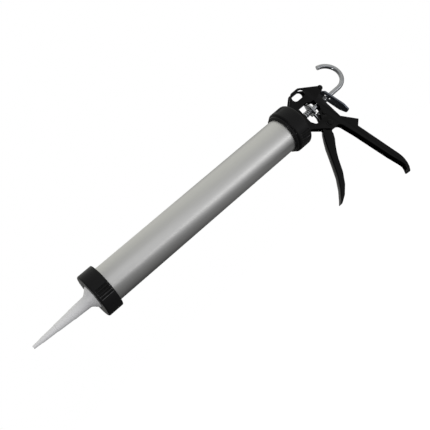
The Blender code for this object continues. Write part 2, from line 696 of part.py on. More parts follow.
def finger_channel():
    """The trigger's channel from just under its pivot to its tip."""
    bm = bmesh.new()
    loops = [channel_loop(bm, *station) for station in finger_stations()]
    count = len(loops[0])
    for loop, following in zip(loops, loops[1:]):
        for index in range(count):
            after = (index + 1) % count
            bm.faces.new((loop[index], loop[after], following[after], following[index]))
    half = count // 2
    for loop in (loops[0], loops[-1]):
        for index in range(half - 1):
            bm.faces.new((loop[index], loop[index + 1], loop[count - 2 - index],
                          loop[count - 1 - index]))
    bmesh.ops.recalc_face_normals(bm, faces=bm.faces)
    return bm


def arm_outline():
    """Side view of one trigger arm, from the channel up to the nose."""
    nose = arc(NOSE, NOSE_ARM_RADIUS, 25, 180, 8)
    back = [(NOSE[0] - 3.1 * MM, -20.0 * MM)]
    lobe = arc(TRIGGER_PIVOT, 8 * MM, 150, 262, 6)
    joined = [(-61.0 * MM, -43.4 * MM), (-53.8 * MM, -40.4 * MM), (-51.4 * MM, -36.6 * MM),
              (-52.4 * MM, -32.6 * MM), (-58.4 * MM, -20.4 * MM)]
    return nose + back + lobe + joined


def build_trigger(root):
    """Trigger, with the pin across its nose and the bush on that pin."""
    origin = (TRIGGER_PIVOT[0], 0.0, TRIGGER_PIVOT[1])
    trigger = add_object("trigger", finger_channel(), BLACK_PAINT, root, origin)
    shy = 0.04 * MM
    arms = []
    for side in (-1, 1):
        low = side * (ARM_IN + shy)
        high = side * (ARM_OUT - shy)
        arms.append(plate(arm_outline(), min(low, high), max(low, high)))
    modify(trigger, "UNION", arms)
    through = ARM_OUT + 5 * MM
    modify(trigger, "DIFFERENCE",
           [cylinder(TRIGGER_PIVOT, PIVOT_RADIUS + CLEARANCE, -through, through),
            cylinder(NOSE, SMALL_PIN + CLEARANCE, -through, through)])

    pin_end = ARM_OUT - 0.2 * MM
    add_object("nose_pin", cylinder(NOSE, SMALL_PIN, -pin_end, pin_end, steps=16),
               PLATED_STEEL, root, (NOSE[0], 0.0, NOSE[1]))
    bush = cylinder(NOSE, BUSH_RADIUS, -ARM_IN + CLEARANCE, ARM_IN - CLEARANCE)
    bush_obj = add_object("nose_bush", bush, PLATED_STEEL, root, (NOSE[0], 0.0, NOSE[1]))
    modify(bush_obj, "DIFFERENCE",
           [cylinder(NOSE, SMALL_PIN + CLEARANCE, -through, through, steps=16)])


# -------------------------------------------------------------------- the drive
def build_drive(root):
    """Gripping plate on the rod and the spring that pushes it back."""
    tongue = ARM_IN - 2 * CLEARANCE
    wide = 8.5 * MM
    outline = [(-tongue, -17.0 * MM), (tongue, -17.0 * MM), (tongue, -7.6 * MM),
               (wide - 1 * MM, -7.6 * MM), (wide, -6.6 * MM), (wide, 3.5 * MM),
               (3.5 * MM, 12.6 * MM), (-3.5 * MM, 12.6 * MM), (-wide, 3.5 * MM),
               (-wide, -6.6 * MM), (-wide + 1 * MM, -7.6 * MM), (-tongue, -7.6 * MM)]
    body = plate(outline, DRIVE_PLATE_REAR_X, DRIVE_PLATE_FRONT_X, "yz")
    plate_obj = add_object("drive_plate", body, PLATED_STEEL, root,
                           (DRIVE_PLATE_REAR_X, 0.0, 0.0))
    modify(plate_obj, "DIFFERENCE",
           [cylinder((0, 0), ROD_RADIUS + CLEARANCE, DRIVE_PLATE_REAR_X - MM,
                     DRIVE_PLATE_FRONT_X + MM, "x")])

    path = coil(FLANGE_REAR_X - CLEARANCE, DRIVE_PLATE_FRONT_X + CLEARANCE,
                SPRING_MEAN, SPRING_WIRE, SPRING_TURNS)
    add_object("return_spring", sweep(path, SPRING_WIRE / 2, 6), PLATED_STEEL, root)


# ---------------------------------------------------------------- rod and piston
def rod_path():
    """Centre line of the rod from its shoulder back round the hook."""
    path = [Vector((ROD_SHOULDER_X, 0, 0)), Vector((ROD_SHOULDER_X / 2, 0, 0)),
            Vector((-60 * MM, 0, 0))]
    steps = 22
    for step in range(steps + 1):
        angle = HOOK_SWEEP * step / steps
        x = HOOK_START_X - HOOK_RADIUS * math.sin(angle)
        rise = HOOK_RADIUS * (1 - math.cos(angle))
        path.append(Vector((x, -rise * math.sin(HOOK_LEAN), rise * math.cos(HOOK_LEAN))))
    return path


def build_rod(root):
    """Push rod with its hook and stud, and the piston that the nut holds on it."""
    rod = add_object("push_rod", sweep(rod_path(), ROD_RADIUS, 16, ball=True),
                     PLATED_STEEL, root)
    stud = ring(ROD_SHOULDER_X - 2 * MM, STUD_END_X, 0.0, STUD_RADIUS, 16, 0.6 * MM)
    modify(rod, "UNION", [stud])

    hole = STUD_RADIUS + CLEARANCE
    add_object("piston_rear_washer",
               ring(REAR_WASHER_X - WASHER_THICK, REAR_WASHER_X, hole, WASHER_RADIUS, 48),
               PLATED_STEEL, root)
    cup_radius = BORE_RADIUS - CLEARANCE
    cup = [(CUP_REAR_X, hole), (CUP_REAR_X, cup_radius - 2 * MM),
           (CUP_REAR_X + 2 * MM, cup_radius), (CUP_FRONT_X, cup_radius),
           (CUP_FRONT_X, cup_radius - CUP_LIP * 0.6), (CUP_FLOOR_X, cup_radius - CUP_LIP),
           (CUP_FLOOR_X, hole)]
    add_object("piston_cup", lathe(cup, 48), WHITE_PLASTIC, root)
    add_object("piston_front_washer",
               ring(FRONT_WASHER_X - WASHER_THICK, FRONT_WASHER_X, hole,
                    WASHER_RADIUS - 3 * MM, 48),
               PLATED_STEEL, root)
    corner = NUT_FLATS / math.sqrt(3)
    nut = plate(arc((0, 0), corner, 0, 300, 5), NUT_FRONT_X - NUT_HEIGHT, NUT_FRONT_X, "yz")
    nut_obj = add_object("piston_nut", nut, PLATED_STEEL, root)
    modify(nut_obj, "DIFFERENCE",
           [cylinder((0, 0), hole, NUT_FRONT_X - 2 * NUT_HEIGHT, NUT_FRONT_X + NUT_HEIGHT, "x")])


# -------------------------------------------------------------------- the catch
def build_catch(root):
    """Release plate, the pin it hangs on and the small spring in front of it."""
    pivot = Vector((CATCH_PIVOT[0], 0, CATCH_PIVOT[1]))
    down = Vector((-math.sin(CATCH_TILT), 0, -math.cos(CATCH_TILT)))
    ahead = Vector((math.cos(CATCH_TILT), 0, -math.sin(CATCH_TILT)))
    lead = 2.6 * MM                                    # plate's middle before the pin
    neck = ARM_OUT
    wide = CATCH_WIDTH / 2
    half = [(neck, -2.5 * MM, 0), (neck, 6.2 * MM, 0.6 * MM), (wide, 9.0 * MM, 2 * MM),
            (wide, 43.0 * MM, 6 * MM), (wide - 4.5 * MM, 54.5 * MM, 4 * MM)]
    outline = rounded(half + [(-side, run, bend) for side, run, bend in reversed(half)])
    bm = bmesh.new()
    front = []
    for side, run in outline:
        spot = pivot + down * run + ahead * (lead + CATCH_THICK / 2)
        front.append(bm.verts.new((spot.x, side, spot.z)))
    face = bm.faces.new(front)
    grown = bmesh.ops.extrude_face_region(bm, geom=[face])
    moved = [item for item in grown["geom"] if isinstance(item, bmesh.types.BMVert)]
    bmesh.ops.translate(bm, verts=moved, vec=-ahead * CATCH_THICK)
    catch = add_object("release_catch", bm, ZINC_STEEL, root, tuple(pivot))
    knuckle = cylinder(CATCH_PIVOT, CATCH_KNUCKLE, -ARM_OUT + 0.1 * MM, ARM_OUT - 0.1 * MM)
    modify(catch, "UNION", [knuckle])

    reach = ROD_RADIUS + 0.9 * MM
    tall = ROD_RADIUS + 1.9 * MM
    slot = rounded([(reach, tall, 3.9 * MM), (-reach, tall, 3.9 * MM),
                    (-reach, -tall, 3.9 * MM), (reach, -tall, 3.9 * MM)], 5)
    modify(catch, "DIFFERENCE",
           [cylinder(CATCH_PIVOT, CATCH_PIN + CLEARANCE, -2 * wide, 2 * wide, steps=16),
            plate(slot, pivot.x - 12 * MM, pivot.x + 12 * MM, "yz")])

    add_object("catch_pin",
               rivet(CATCH_PIVOT, CATCH_PIN, CATCH_PIN + 1.0 * MM, -CHEEK_OUT - CLEARANCE,
                     CHEEK_OUT + CLEARANCE, head_height=1.0 * MM),
               PLATED_STEEL, root)
    path = coil(REAR_WALL_X - CLEARANCE, REAR_WALL_X - 6.8 * MM,
                ROD_RADIUS + 1.1 * MM, CATCH_SPRING_WIRE, CATCH_SPRING_TURNS)
    add_object("catch_spring", sweep(path, CATCH_SPRING_WIRE / 2, 6), PLATED_STEEL, root)


def main():
    """Build the whole gun under one empty at the palm."""
    clear_scene()
    root = bpy.data.objects.new("gun_root", None)
    bpy.context.scene.collection.objects.link(root)
    root.location = (-PALM[0], 0.0, -PALM[1])
    build_barrel(root)
    rivet_holes = build_joint_stack(root)
    build_frame(root, rivet_holes)
    build_trigger(root)
    build_drive(root)
    build_rod(root)
    build_catch(root)


main()
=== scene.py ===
"""Looks of a hand caulking gun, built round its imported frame.

World axes are the frame's: +X runs forward to the nozzle, +Y is the gun's left side and
+Z is up, from the handle to the barrel. All lengths are in metres.
"""
import logging
import math
from dataclasses import dataclass, field
from enum import Enum
from typing import Any, Sequence

import bmesh
import bpy
from mathutils import Matrix, Vector


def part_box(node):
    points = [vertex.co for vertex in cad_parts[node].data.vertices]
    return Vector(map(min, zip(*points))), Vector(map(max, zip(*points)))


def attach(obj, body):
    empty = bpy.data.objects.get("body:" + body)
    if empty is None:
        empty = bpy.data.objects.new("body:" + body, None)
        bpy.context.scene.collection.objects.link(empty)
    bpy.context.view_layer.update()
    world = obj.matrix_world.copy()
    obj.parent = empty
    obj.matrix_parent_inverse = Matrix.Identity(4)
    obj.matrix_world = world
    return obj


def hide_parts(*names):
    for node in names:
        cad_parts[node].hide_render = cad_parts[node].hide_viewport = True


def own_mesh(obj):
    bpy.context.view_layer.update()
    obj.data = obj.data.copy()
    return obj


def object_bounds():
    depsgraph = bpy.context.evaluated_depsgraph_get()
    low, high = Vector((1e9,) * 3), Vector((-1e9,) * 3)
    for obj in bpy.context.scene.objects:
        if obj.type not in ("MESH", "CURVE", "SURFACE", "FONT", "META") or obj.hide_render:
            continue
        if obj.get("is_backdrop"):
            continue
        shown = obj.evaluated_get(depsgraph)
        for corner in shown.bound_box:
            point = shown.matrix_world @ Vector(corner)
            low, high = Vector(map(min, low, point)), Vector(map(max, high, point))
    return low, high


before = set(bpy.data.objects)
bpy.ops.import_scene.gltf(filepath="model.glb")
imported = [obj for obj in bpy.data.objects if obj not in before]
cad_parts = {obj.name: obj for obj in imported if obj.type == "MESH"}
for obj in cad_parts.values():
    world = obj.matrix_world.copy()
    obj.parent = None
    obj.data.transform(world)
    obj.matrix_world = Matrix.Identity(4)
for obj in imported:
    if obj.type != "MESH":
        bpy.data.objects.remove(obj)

MM = 0.001
MERGE_DISTANCE = 1e-6
SHARP_DEGREES = 35.0                   # edges of turned pieces that stay sharp
BEVEL_DEGREES = 38.0                   # edges of CAD pieces that are rounded
FLAT_DEGREES = 0.4                     # faces that lie flatter than this are joined
SIDE_SHARE = 0.49                      # of a side, the most that one rounding takes
DEAD_TURN_RISE = 2.3                   # rise of a spring's end turn, in wire radii
CUTTER_ROUNDING = 0.7                  # of a groove cutter's radius
log = logging.getLogger("caulking_gun")

Outline = list[tuple[float, float]]
Colour = tuple[float, float, float]
Triple = tuple[float, float, float]


class Body(Enum):
    """The moving bodies that pieces ride on."""

    FRAME = "frame"
    REAR_CAP = "rear_cap"
    BARREL = "barrel"
    NOZZLE = "nozzle"
    FRONT_CAP = "front_cap"
    TRIGGER = "trigger"
    DRIVE_PLATE = "drive_plate"
    PISTON = "piston"
    ROD = "rod"
    CATCH = "catch"


class Slot(Enum):
    """The record's material slots."""

    ALUMINIUM = "aluminium"
    BLACK_PLASTIC = "black_plastic"
    CLEAR_PLASTIC = "clear_plastic"
    BLACK_PAINT = "black_paint"
    PLATED_STEEL = "plated_steel"
    ZINC_STEEL = "zinc_steel"
    WHITE_PLASTIC = "white_plastic"
    SEAL_RUBBER = "seal_rubber"


# ------------------------------------------------------------- shader node groups
GRAIN_NOISE = (0.3, 0.7)               # noise where the grain's mask starts and is full
SMEAR_NOISE = (0.45, 0.75)             # the same for smears
SMEAR_DETAIL = 5.0
SMEAR_SWIRL = 0.8
SPECK_SCALE = 420.0
SPECK_REACH = (0.16, 0.05)             # from a speck's rim to its core
EDGE_SHARPNESS = (0.53, 0.62)          # pointiness of a soft edge and of a worn one
SHADED_HOLLOW_DEPTH = (0.485, 0.43)           # pointiness where the painted shade in hollows starts and where it is full
MARK_ROUGHNESS = 0.25                  # roughness that a full mark adds
MIX_UNDER, MIX_OVER, MIX_RESULT = 6, 7, 2   # the Mix node's colour sockets


def add_node(tree: bpy.types.NodeTree, kind: str, inputs: dict[Any, Any] | None = None,
             **settings: Any) -> bpy.types.Node:
    """Add a node to a tree.

    Args:
        tree: the tree.
        kind: the node's type name.
        inputs: a value, or a socket to link from, for each input.
        settings: properties of the node.

    Returns:
        The node.
    """
    made = tree.nodes.new(kind)
    for label, value in settings.items():
        setattr(made, label, value)
    for label, value in (inputs or {}).items():
        if isinstance(value, bpy.types.NodeSocket):
            tree.links.new(value, made.inputs[label])
        else:
            made.inputs[label].default_value = value
    return made


def fade(tree: bpy.types.NodeTree, value: bpy.types.NodeSocket,
         reach: tuple[float, float]) -> bpy.types.NodeSocket:
    """A mask that goes from 0 to 1 as a value goes through a reach."""
    return add_node(tree, "ShaderNodeMapRange", {
        "Value": value, "From Min": reach[0], "From Max": reach[1]}).outputs["Result"]


def combine(tree: bpy.types.NodeTree, operation: str, first: bpy.types.NodeSocket,
            second: bpy.types.NodeSocket, clamp: bool = False) -> bpy.types.NodeSocket:
    """The result of a Math node on two sockets."""
    return add_node(tree, "ShaderNodeMath", {0: first, 1: second}, operation=operation,
                    use_clamp=clamp).outputs["Value"]


def group_sockets(tree: bpy.types.NodeTree, inputs: dict[str, Any],
                  outputs: Sequence[str]) -> tuple[bpy.types.Node, bpy.types.Node]:
    """Give a shader group its named sockets.

    Args:
        tree: the group's node tree.
        inputs: default value of each input, a float or a vector of three.
        outputs: names of the float outputs.

    Returns:
        The group's input node and output node.
    """
    for name, value in inputs.items():
        kind = "NodeSocketFloat" if isinstance(value, float) else "NodeSocketVector"
        socket = tree.interface.new_socket(name=name, in_out="INPUT", socket_type=kind)
        socket.default_value = value
    for name in outputs:
        tree.interface.new_socket(name=name, in_out="OUTPUT", socket_type="NodeSocketFloat")
    return tree.nodes.new("NodeGroupInput"), tree.nodes.new("NodeGroupOutput")


def grain_group() -> bpy.types.NodeTree:
    """Fine grain of a surface: stretched noise, as a height and a roughness mask.

    Returns:
        The shader group "surface_grain".
    """
    tree = bpy.data.node_groups.new("surface_grain", "ShaderNodeTree")
    given, out = group_sockets(tree, {"Stretch": (1.0, 1.0, 1.0), "Scale": 400.0,
                                      "Detail": 4.0}, ("Height", "Mask"))
    place = add_node(tree, "ShaderNodeTexCoord")
    mapping = add_node(tree, "ShaderNodeMapping", {
        "Vector": place.outputs["Object"], "Scale": given.outputs["Stretch"]})
    noise = add_node(tree, "ShaderNodeTexNoise", {
        "Vector": mapping.outputs["Vector"], "Scale": given.outputs["Scale"],
        "Detail": given.outputs["Detail"]})
    tree.links.new(noise.outputs["Fac"], out.inputs["Height"])
    tree.links.new(fade(tree, noise.outputs["Fac"], GRAIN_NOISE), out.inputs["Mask"])
    return tree


def handling_group() -> bpy.types.NodeTree:
    """Faint smears and dust left by handling, as one mask.

    Returns:
        The shader group "handling_marks".
    """
    tree = bpy.data.node_groups.new("handling_marks", "ShaderNodeTree")
    given, out = group_sockets(tree, {"Scale": 30.0, "Amount": 0.5, "Speckle": 0.1},
                               ("Mask",))
    place = add_node(tree, "ShaderNodeTexCoord")
    smear = add_node(tree, "ShaderNodeTexNoise", {
        "Vector": place.outputs["Object"], "Scale": given.outputs["Scale"],
        "Detail": SMEAR_DETAIL, "Distortion": SMEAR_SWIRL})
    specks = add_node(tree, "ShaderNodeTexVoronoi", {
        "Vector": place.outputs["Object"], "Scale": SPECK_SCALE})
    smeared = combine(tree, "MULTIPLY", fade(tree, smear.outputs["Fac"], SMEAR_NOISE),
                      given.outputs["Amount"])
    dusted = combine(tree, "MULTIPLY", fade(tree, specks.outputs["Distance"], SPECK_REACH),
                     given.outputs["Speckle"])
    tree.links.new(combine(tree, "ADD", smeared, dusted, clamp=True), out.inputs["Mask"])
    return tree


def wear_and_hollow_shade_group() -> bpy.types.NodeTree:
    """Wear along outer edges, broken up by noise, and a mask for the painted shade in
    hollows.

    Returns:
        The shader group "edge_wear".
    """
    tree = bpy.data.node_groups.new("edge_wear", "ShaderNodeTree")
    given, out = group_sockets(tree, {"Amount": 0.3, "Break Up": 260.0},
                               ("Mask", "Hollows"))
    point = add_node(tree, "ShaderNodeNewGeometry").outputs["Pointiness"]
    place = add_node(tree, "ShaderNodeTexCoord")
    noise = add_node(tree, "ShaderNodeTexNoise", {
        "Vector": place.outputs["Object"], "Scale": given.outputs["Break Up"]})
    broken = combine(tree, "MULTIPLY", fade(tree, point, EDGE_SHARPNESS),
                     noise.outputs["Fac"])
    tree.links.new(combine(tree, "MULTIPLY", broken, given.outputs["Amount"], clamp=True),
                   out.inputs["Mask"])
    # Painted shade: low pointiness finds creases and grooves, and the colour there is
    # darkened as if shade fell on it.
    tree.links.new(fade(tree, point, SHADED_HOLLOW_DEPTH), out.inputs["Hollows"])
    return tree


@dataclass(frozen=True)
class Effects:
    """The shader groups that the finishes share, built once."""

    grain: bpy.types.NodeTree
    handling: bpy.types.NodeTree
    wear: bpy.types.NodeTree

    @classmethod
    def build(cls) -> "Effects":
        """Build every shared group."""
        return cls(grain_group(), handling_group(), wear_and_hollow_shade_group())


# ------------------------------------------------------------------------ finishes
@dataclass(frozen=True)
class Finish:
    """A surface: its colour, its gloss, the small marks on it and the painted shade in its
    hollows.
    """

    name: str
    slot: Slot
    colour: Colour
    shade: Colour                      # colour of the grain's darker parts
    worn: Colour                       # colour along worn edges
    hollow_shade: Colour                     # painted shade laid at the bottom of hollows
    roughness: float
    roughness_spread: float = 0.08
    metallic: float = 0.0
    grain_scale: float = 900.0
    grain_stretch: Triple = (1.0, 1.0, 1.0)
    grain_height: float = 0.00002      # in metres
    marks: float = 0.15
    mark_scale: float = 28.0
    speckle: float = 0.05
    wear: float = 0.25
    specular: float = 0.5

    def material(self, effects: Effects) -> bpy.types.Material:
        """Build this finish as a node material.

        Args:
            effects: the shared shader groups.

        Returns:
            The material, with its Principled BSDF fed by the groups.
        """
        made = bpy.data.materials.new(self.name)
        made.use_nodes = True
        tree = made.node_tree
        shader = tree.nodes["Principled BSDF"]
        shader.inputs["Metallic"].default_value = self.metallic
        shader.inputs["Specular IOR Level"].default_value = self.specular

        grain = add_node(tree, "ShaderNodeGroup", {
            "Scale": self.grain_scale, "Stretch": self.grain_stretch},
            node_tree=effects.grain)
        marks = add_node(tree, "ShaderNodeGroup", {
            "Scale": self.mark_scale, "Amount": self.marks, "Speckle": self.speckle},
            node_tree=effects.handling)
        wear = add_node(tree, "ShaderNodeGroup", {"Amount": self.wear},
                        node_tree=effects.wear)

        body = self._blend(tree, self.shade, self.colour, grain.outputs["Mask"])
        # Painted shade: the colour laid in hollows darkens creases and grooves.
        hollow_shaded = self._blend(tree, body, self.hollow_shade, wear.outputs["Hollows"])
        worn = self._blend(tree, hollow_shaded, self.worn, wear.outputs["Mask"])
        tree.links.new(worn, shader.inputs["Base Color"])
        tree.links.new(self._gloss(tree, grain.outputs["Mask"], marks.outputs["Mask"]),
                       shader.inputs["Roughness"])

        bump = add_node(tree, "ShaderNodeBump", {
            "Distance": self.grain_height, "Height": grain.outputs["Height"]})
        tree.links.new(bump.outputs["Normal"], shader.inputs["Normal"])
        made.diffuse_color = (*self.colour, 1.0)
        return made

    @staticmethod
    def _blend(tree: bpy.types.NodeTree, under: Any, over: Colour,
               mask: bpy.types.NodeSocket) -> bpy.types.NodeSocket:
        """Mix a colour over another colour or socket where a mask is high.

        Args:
            tree: the material's nodes.
            under: a colour, or the socket that gives one.
            over: the colour laid over it.
            mask: how much of the upper colour shows.

        Returns:
            The mixed colour's socket.
        """
        base = (*under, 1.0) if isinstance(under, tuple) else under
        mix = add_node(tree, "ShaderNodeMix", {
            "Factor": mask, MIX_UNDER: base, MIX_OVER: (*over, 1.0)}, data_type="RGBA")
        return mix.outputs[MIX_RESULT]

    def _gloss(self, tree: bpy.types.NodeTree, grain: bpy.types.NodeSocket,
               marks: bpy.types.NodeSocket) -> bpy.types.NodeSocket:
        """Roughness: the base value, spread by the grain and raised by the marks.

        Args:
            tree: the material's nodes.
            grain: the grain's mask.
            marks: the handling marks' mask.

        Returns:
            The roughness's socket.
        """
        spread = add_node(tree, "ShaderNodeMapRange", {
            "Value": grain, "To Min": self.roughness - self.roughness_spread,
            "To Max": self.roughness + self.roughness_spread})
        raised = add_node(tree, "ShaderNodeMath", {
            0: marks, 1: MARK_ROUGHNESS, 2: spread.outputs["Result"]},
            operation="MULTIPLY_ADD", use_clamp=True)
        return raised.outputs["Value"]


FINISHES: dict[str, Finish] = {finish.name: finish for finish in (
    # The fourth colour of each finish is the painted shade laid in its hollows.
    Finish("anodised_barrel", Slot.ALUMINIUM, (0.600, 0.600, 0.590), (0.572, 0.572, 0.562),
           (0.70, 0.70, 0.69), (0.30, 0.30, 0.30), roughness=0.37,
           roughness_spread=0.015, metallic=1.0, grain_scale=1500.0,
           grain_stretch=(0.03, 1.0, 1.0), grain_height=0.000003, marks=0.12,
           mark_scale=22.0, speckle=0.0, wear=0.1),
    # Its strong edge wear and pale worn colour lighten the rims and groove edges: partly real
    # wear, partly a painted highlight.
    Finish("moulded_black", Slot.BLACK_PLASTIC, (0.0125, 0.0125, 0.0130),
           (0.0095, 0.0095, 0.0100), (0.16, 0.16, 0.165), (0.0010, 0.0010, 0.0010),
           roughness=0.36, roughness_spread=0.06, grain_scale=1500.0,
           grain_height=0.00001, marks=0.3, wear=1.6, specular=0.10),
    Finish("translucent_nozzle", Slot.CLEAR_PLASTIC, (0.92, 0.92, 0.93),
           (0.92, 0.92, 0.93), (0.86, 0.86, 0.88), (0.60, 0.60, 0.64),
           roughness=0.34, roughness_spread=0.02, grain_scale=300.0,
           grain_stretch=(0.2, 1.0, 1.0), grain_height=0.000002, marks=0.05, speckle=0.0,
           wear=0.1),
    Finish("gloss_black_paint", Slot.BLACK_PAINT, (0.0016, 0.0016, 0.0017),
           (0.0010, 0.0010, 0.0011), (0.05, 0.05, 0.052), (0.0004, 0.0004, 0.0004),
           roughness=0.22, roughness_spread=0.05, grain_scale=700.0,
           grain_height=0.00001, marks=0.25, wear=0.5, specular=0.14),
    Finish("bright_plate", Slot.PLATED_STEEL, (0.44, 0.45, 0.46), (0.33, 0.34, 0.36),
           (0.8, 0.8, 0.8), (0.08, 0.08, 0.085), roughness=0.12,
           roughness_spread=0.04, metallic=1.0, grain_scale=500.0,
           grain_stretch=(0.12, 1.0, 1.0), grain_height=0.000002, marks=0.3,
           speckle=0.0),
    Finish("dull_zinc", Slot.ZINC_STEEL, (0.13, 0.145, 0.17), (0.09, 0.10, 0.12),
           (0.42, 0.43, 0.45), (0.04, 0.045, 0.05), roughness=0.33,
           roughness_spread=0.08, metallic=0.9, grain_scale=500.0,
           grain_height=0.000005, marks=0.4, wear=0.8),
    Finish("natural_nylon", Slot.WHITE_PLASTIC, (0.72, 0.72, 0.69), (0.66, 0.66, 0.63),
           (0.8, 0.8, 0.78), (0.5, 0.5, 0.48), roughness=0.48, grain_scale=1200.0,
           grain_height=0.00001),
    Finish("soft_gasket", Slot.SEAL_RUBBER, (0.020, 0.020, 0.021), (0.012, 0.012, 0.013),
           (0.05, 0.05, 0.05), (0.006, 0.006, 0.006), roughness=0.72,
           grain_scale=1600.0, grain_height=0.00004),
)}


# --------------------------------------------------------------------- mesh helpers
@dataclass(frozen=True)
class Span:
    """Reach of a CAD node along the barrel's axis, and its radius about it."""

    back: float
    front: float
    radius: float

    @classmethod
    def of(cls, node: str) -> "Span":
        """Measure a node."""
        low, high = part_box(node)
        return cls(low.x, high.x, (high.y - low.y) / 2)


def axis_height() -> float:
    """Height of the barrel's axis."""
    low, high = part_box("barrel_tube")
    return (low.z + high.z) / 2


def centre_of(node: str) -> Vector:
    """Middle of a CAD node's box."""
    low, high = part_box(node)
    return (Vector(low) + Vector(high)) / 2


def tidy_normals(bm: bmesh.types.BMesh) -> None:
    """Merge doubles and turn every face outwards."""
    bmesh.ops.remove_doubles(bm, verts=bm.verts, dist=MERGE_DISTANCE)
    bmesh.ops.recalc_face_normals(bm, faces=bm.faces)


def as_object(name: str, bm: bmesh.types.BMesh, sharp_degrees: float = SHARP_DEGREES
              ) -> bpy.types.Object:
    """Turn a bmesh into a smooth-shaded object at the origin.

    Args:
        name: the object's name.
        bm: its mesh, freed here.
        sharp_degrees: edges sharper than this stay sharp.

    Returns:
        The new object.
    """
    tidy_normals(bm)
    mesh = bpy.data.meshes.new(name)
    bm.to_mesh(mesh)
    bm.free()
    mesh.shade_smooth()
    mesh.set_sharp_from_angle(angle=math.radians(sharp_degrees))
    obj = bpy.data.objects.new(name, mesh)
    bpy.context.scene.collection.objects.link(obj)
    return obj


def rounded(corners: Sequence[tuple[float, float, float]], steps: int = 5) -> Outline:
    """Round the corners of a closed outline.

    Args:
        corners: (x, y, radius) of each corner, in order.
        steps: segments of each rounding.

    Returns:
        The outline's points.
    """
    points: Outline = []
    count = len(corners)
    for index, (x, y, radius) in enumerate(corners):
        here = Vector((x, y))
        before = Vector(corners[index - 1][:2]) - here
        after = Vector(corners[(index + 1) % count][:2]) - here
        if radius <= 0:
            points.append((x, y))
            continue
        half = before.angle(after) / 2
        reach = min(radius / math.tan(half), before.length * SIDE_SHARE,
                    after.length * SIDE_SHARE)
        size = reach * math.tan(half)
        centre = here + (before.normalized() + after.normalized()).normalized() * (
            size / math.sin(half))
        first = here + before.normalized() * reach - centre
        last = here + after.normalized() * reach - centre
        turn = first.angle_signed(last)
        for step in range(steps + 1):
            angle = -turn * step / steps
            spoke = Vector((first.x * math.cos(angle) - first.y * math.sin(angle),
                            first.x * math.sin(angle) + first.y * math.cos(angle)))
            points.append(tuple(centre + spoke))
    return points


def turned(name: str, outline: Outline, steps: int = 192, height: float | None = None,
           side: float = 0.0) -> bpy.types.Object:
    """Turn a closed (x, radius) outline about a line along X.

    Args:
        name: the piece's name.
        outline: the closed section; points at radius 0 lie on the line.
        steps: facets round the line.
        height: the line's Z, the barrel's axis if left out.
        side: the line's Y.

    Returns:
        The turned piece.
    """
    bm = bmesh.new()
    verts = [bm.verts.new((x, 0.0, radius)) for x, radius in outline]
    edges = [bm.edges.new(pair) for pair in zip(verts, verts[1:] + verts[:1])
             if pair[0].co.z + pair[1].co.z > MERGE_DISTANCE]
    bmesh.ops.spin(bm, geom=verts + edges, cent=(0, 0, 0), axis=(1, 0, 0),
                   angle=math.tau, steps=steps, use_merge=True)
    lift = Vector((0.0, side, axis_height() if height is None else height))
    bmesh.ops.translate(bm, verts=bm.verts, vec=lift)
    return as_object(name, bm)


def swept(name: str, path: Sequence[Vector], radius: float, sides: int,
          chamfer: float) -> bpy.types.Object:
    """A round bar along a path, its ends chamfered.

    Args:
        name: the piece's name.
        path: centre line.
        radius: the bar's radius.
        sides: facets round the bar.
        chamfer: width of the chamfer at each end.

    Returns:
        The bar.
    """
    bm = bmesh.new()
    loops = []
    normal = Vector((0, 1, 0))
    for index, point in enumerate(path):
        ahead = path[min(index + 1, len(path) - 1)]
        behind = path[max(index - 1, 0)]
        tangent = (ahead - behind).normalized()
        normal = (normal - tangent * normal.dot(tangent)).normalized()
        across = tangent.cross(normal)
        loops.append([bm.verts.new(point + radius * (
            normal * math.cos(math.tau * turn / sides)
            + across * math.sin(math.tau * turn / sides))) for turn in range(sides)])
    for loop, following in zip(loops, loops[1:]):
        for index in range(sides):
            after = (index + 1) % sides
            bm.faces.new((loop[index], loop[after], following[after], following[index]))
    caps = [bm.faces.new(list(reversed(loops[0]))), bm.faces.new(loops[-1])]
    rims = [edge for cap in caps for edge in cap.edges]
    bmesh.ops.bevel(bm, geom=rims, offset=chamfer, segments=3, profile=0.5,
                    affect="EDGES", clamp_overlap=True)
    return as_object(name, bm)


def baked(obj: bpy.types.Object) -> bpy.types.Object:
    """Turn an object's live modifiers into a plain mesh.

    Args:
        obj: the object, with its modifiers.

    Returns:
        The same object, with the result as its mesh and no modifiers.
    """
    depsgraph = bpy.context.evaluated_depsgraph_get()
    depsgraph.update()
    mesh = bpy.data.meshes.new_from_object(
        obj.evaluated_get(depsgraph), preserve_all_data_layers=True, depsgraph=depsgraph)
    obj.modifiers.clear()
    obj.data = mesh
    return obj


def softened(name: str, nodes: Sequence[str], width: float, segments: int = 2
             ) -> bpy.types.Object:
    """Copy CAD nodes into one piece and round off their edges.

    Args:
        name: the new piece's name.
        nodes: the CAD nodes that it copies.
        width: width of the rounding.
        segments: facets across the rounding.

    Returns:
        The new piece.
    """
    bm = bmesh.new()
    for node in nodes:
        bm.from_mesh(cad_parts[node].data)
    tidy_normals(bm)
    bmesh.ops.dissolve_limit(bm, angle_limit=math.radians(FLAT_DEGREES), verts=bm.verts,
                             edges=bm.edges)
    obj = as_object(name, bm)
    bevel = obj.modifiers.new("edge_rounding", "BEVEL")
    bevel.width = width
    bevel.segments = segments
    bevel.limit_method = "ANGLE"
    bevel.angle_limit = math.radians(BEVEL_DEGREES)
    bevel.use_clamp_overlap = True
    baked(obj)
    obj.data.shade_smooth()
    obj.data.set_sharp_from_angle(angle=math.radians(BEVEL_DEGREES))
    return obj


# ------------------------------------------------------------- geometry node trees
SOCKETS: dict[type, str] = {
    float: "NodeSocketFloat", int: "NodeSocketInt", bpy.types.Material:
    "NodeSocketMaterial", bpy.types.Object: "NodeSocketObject"}


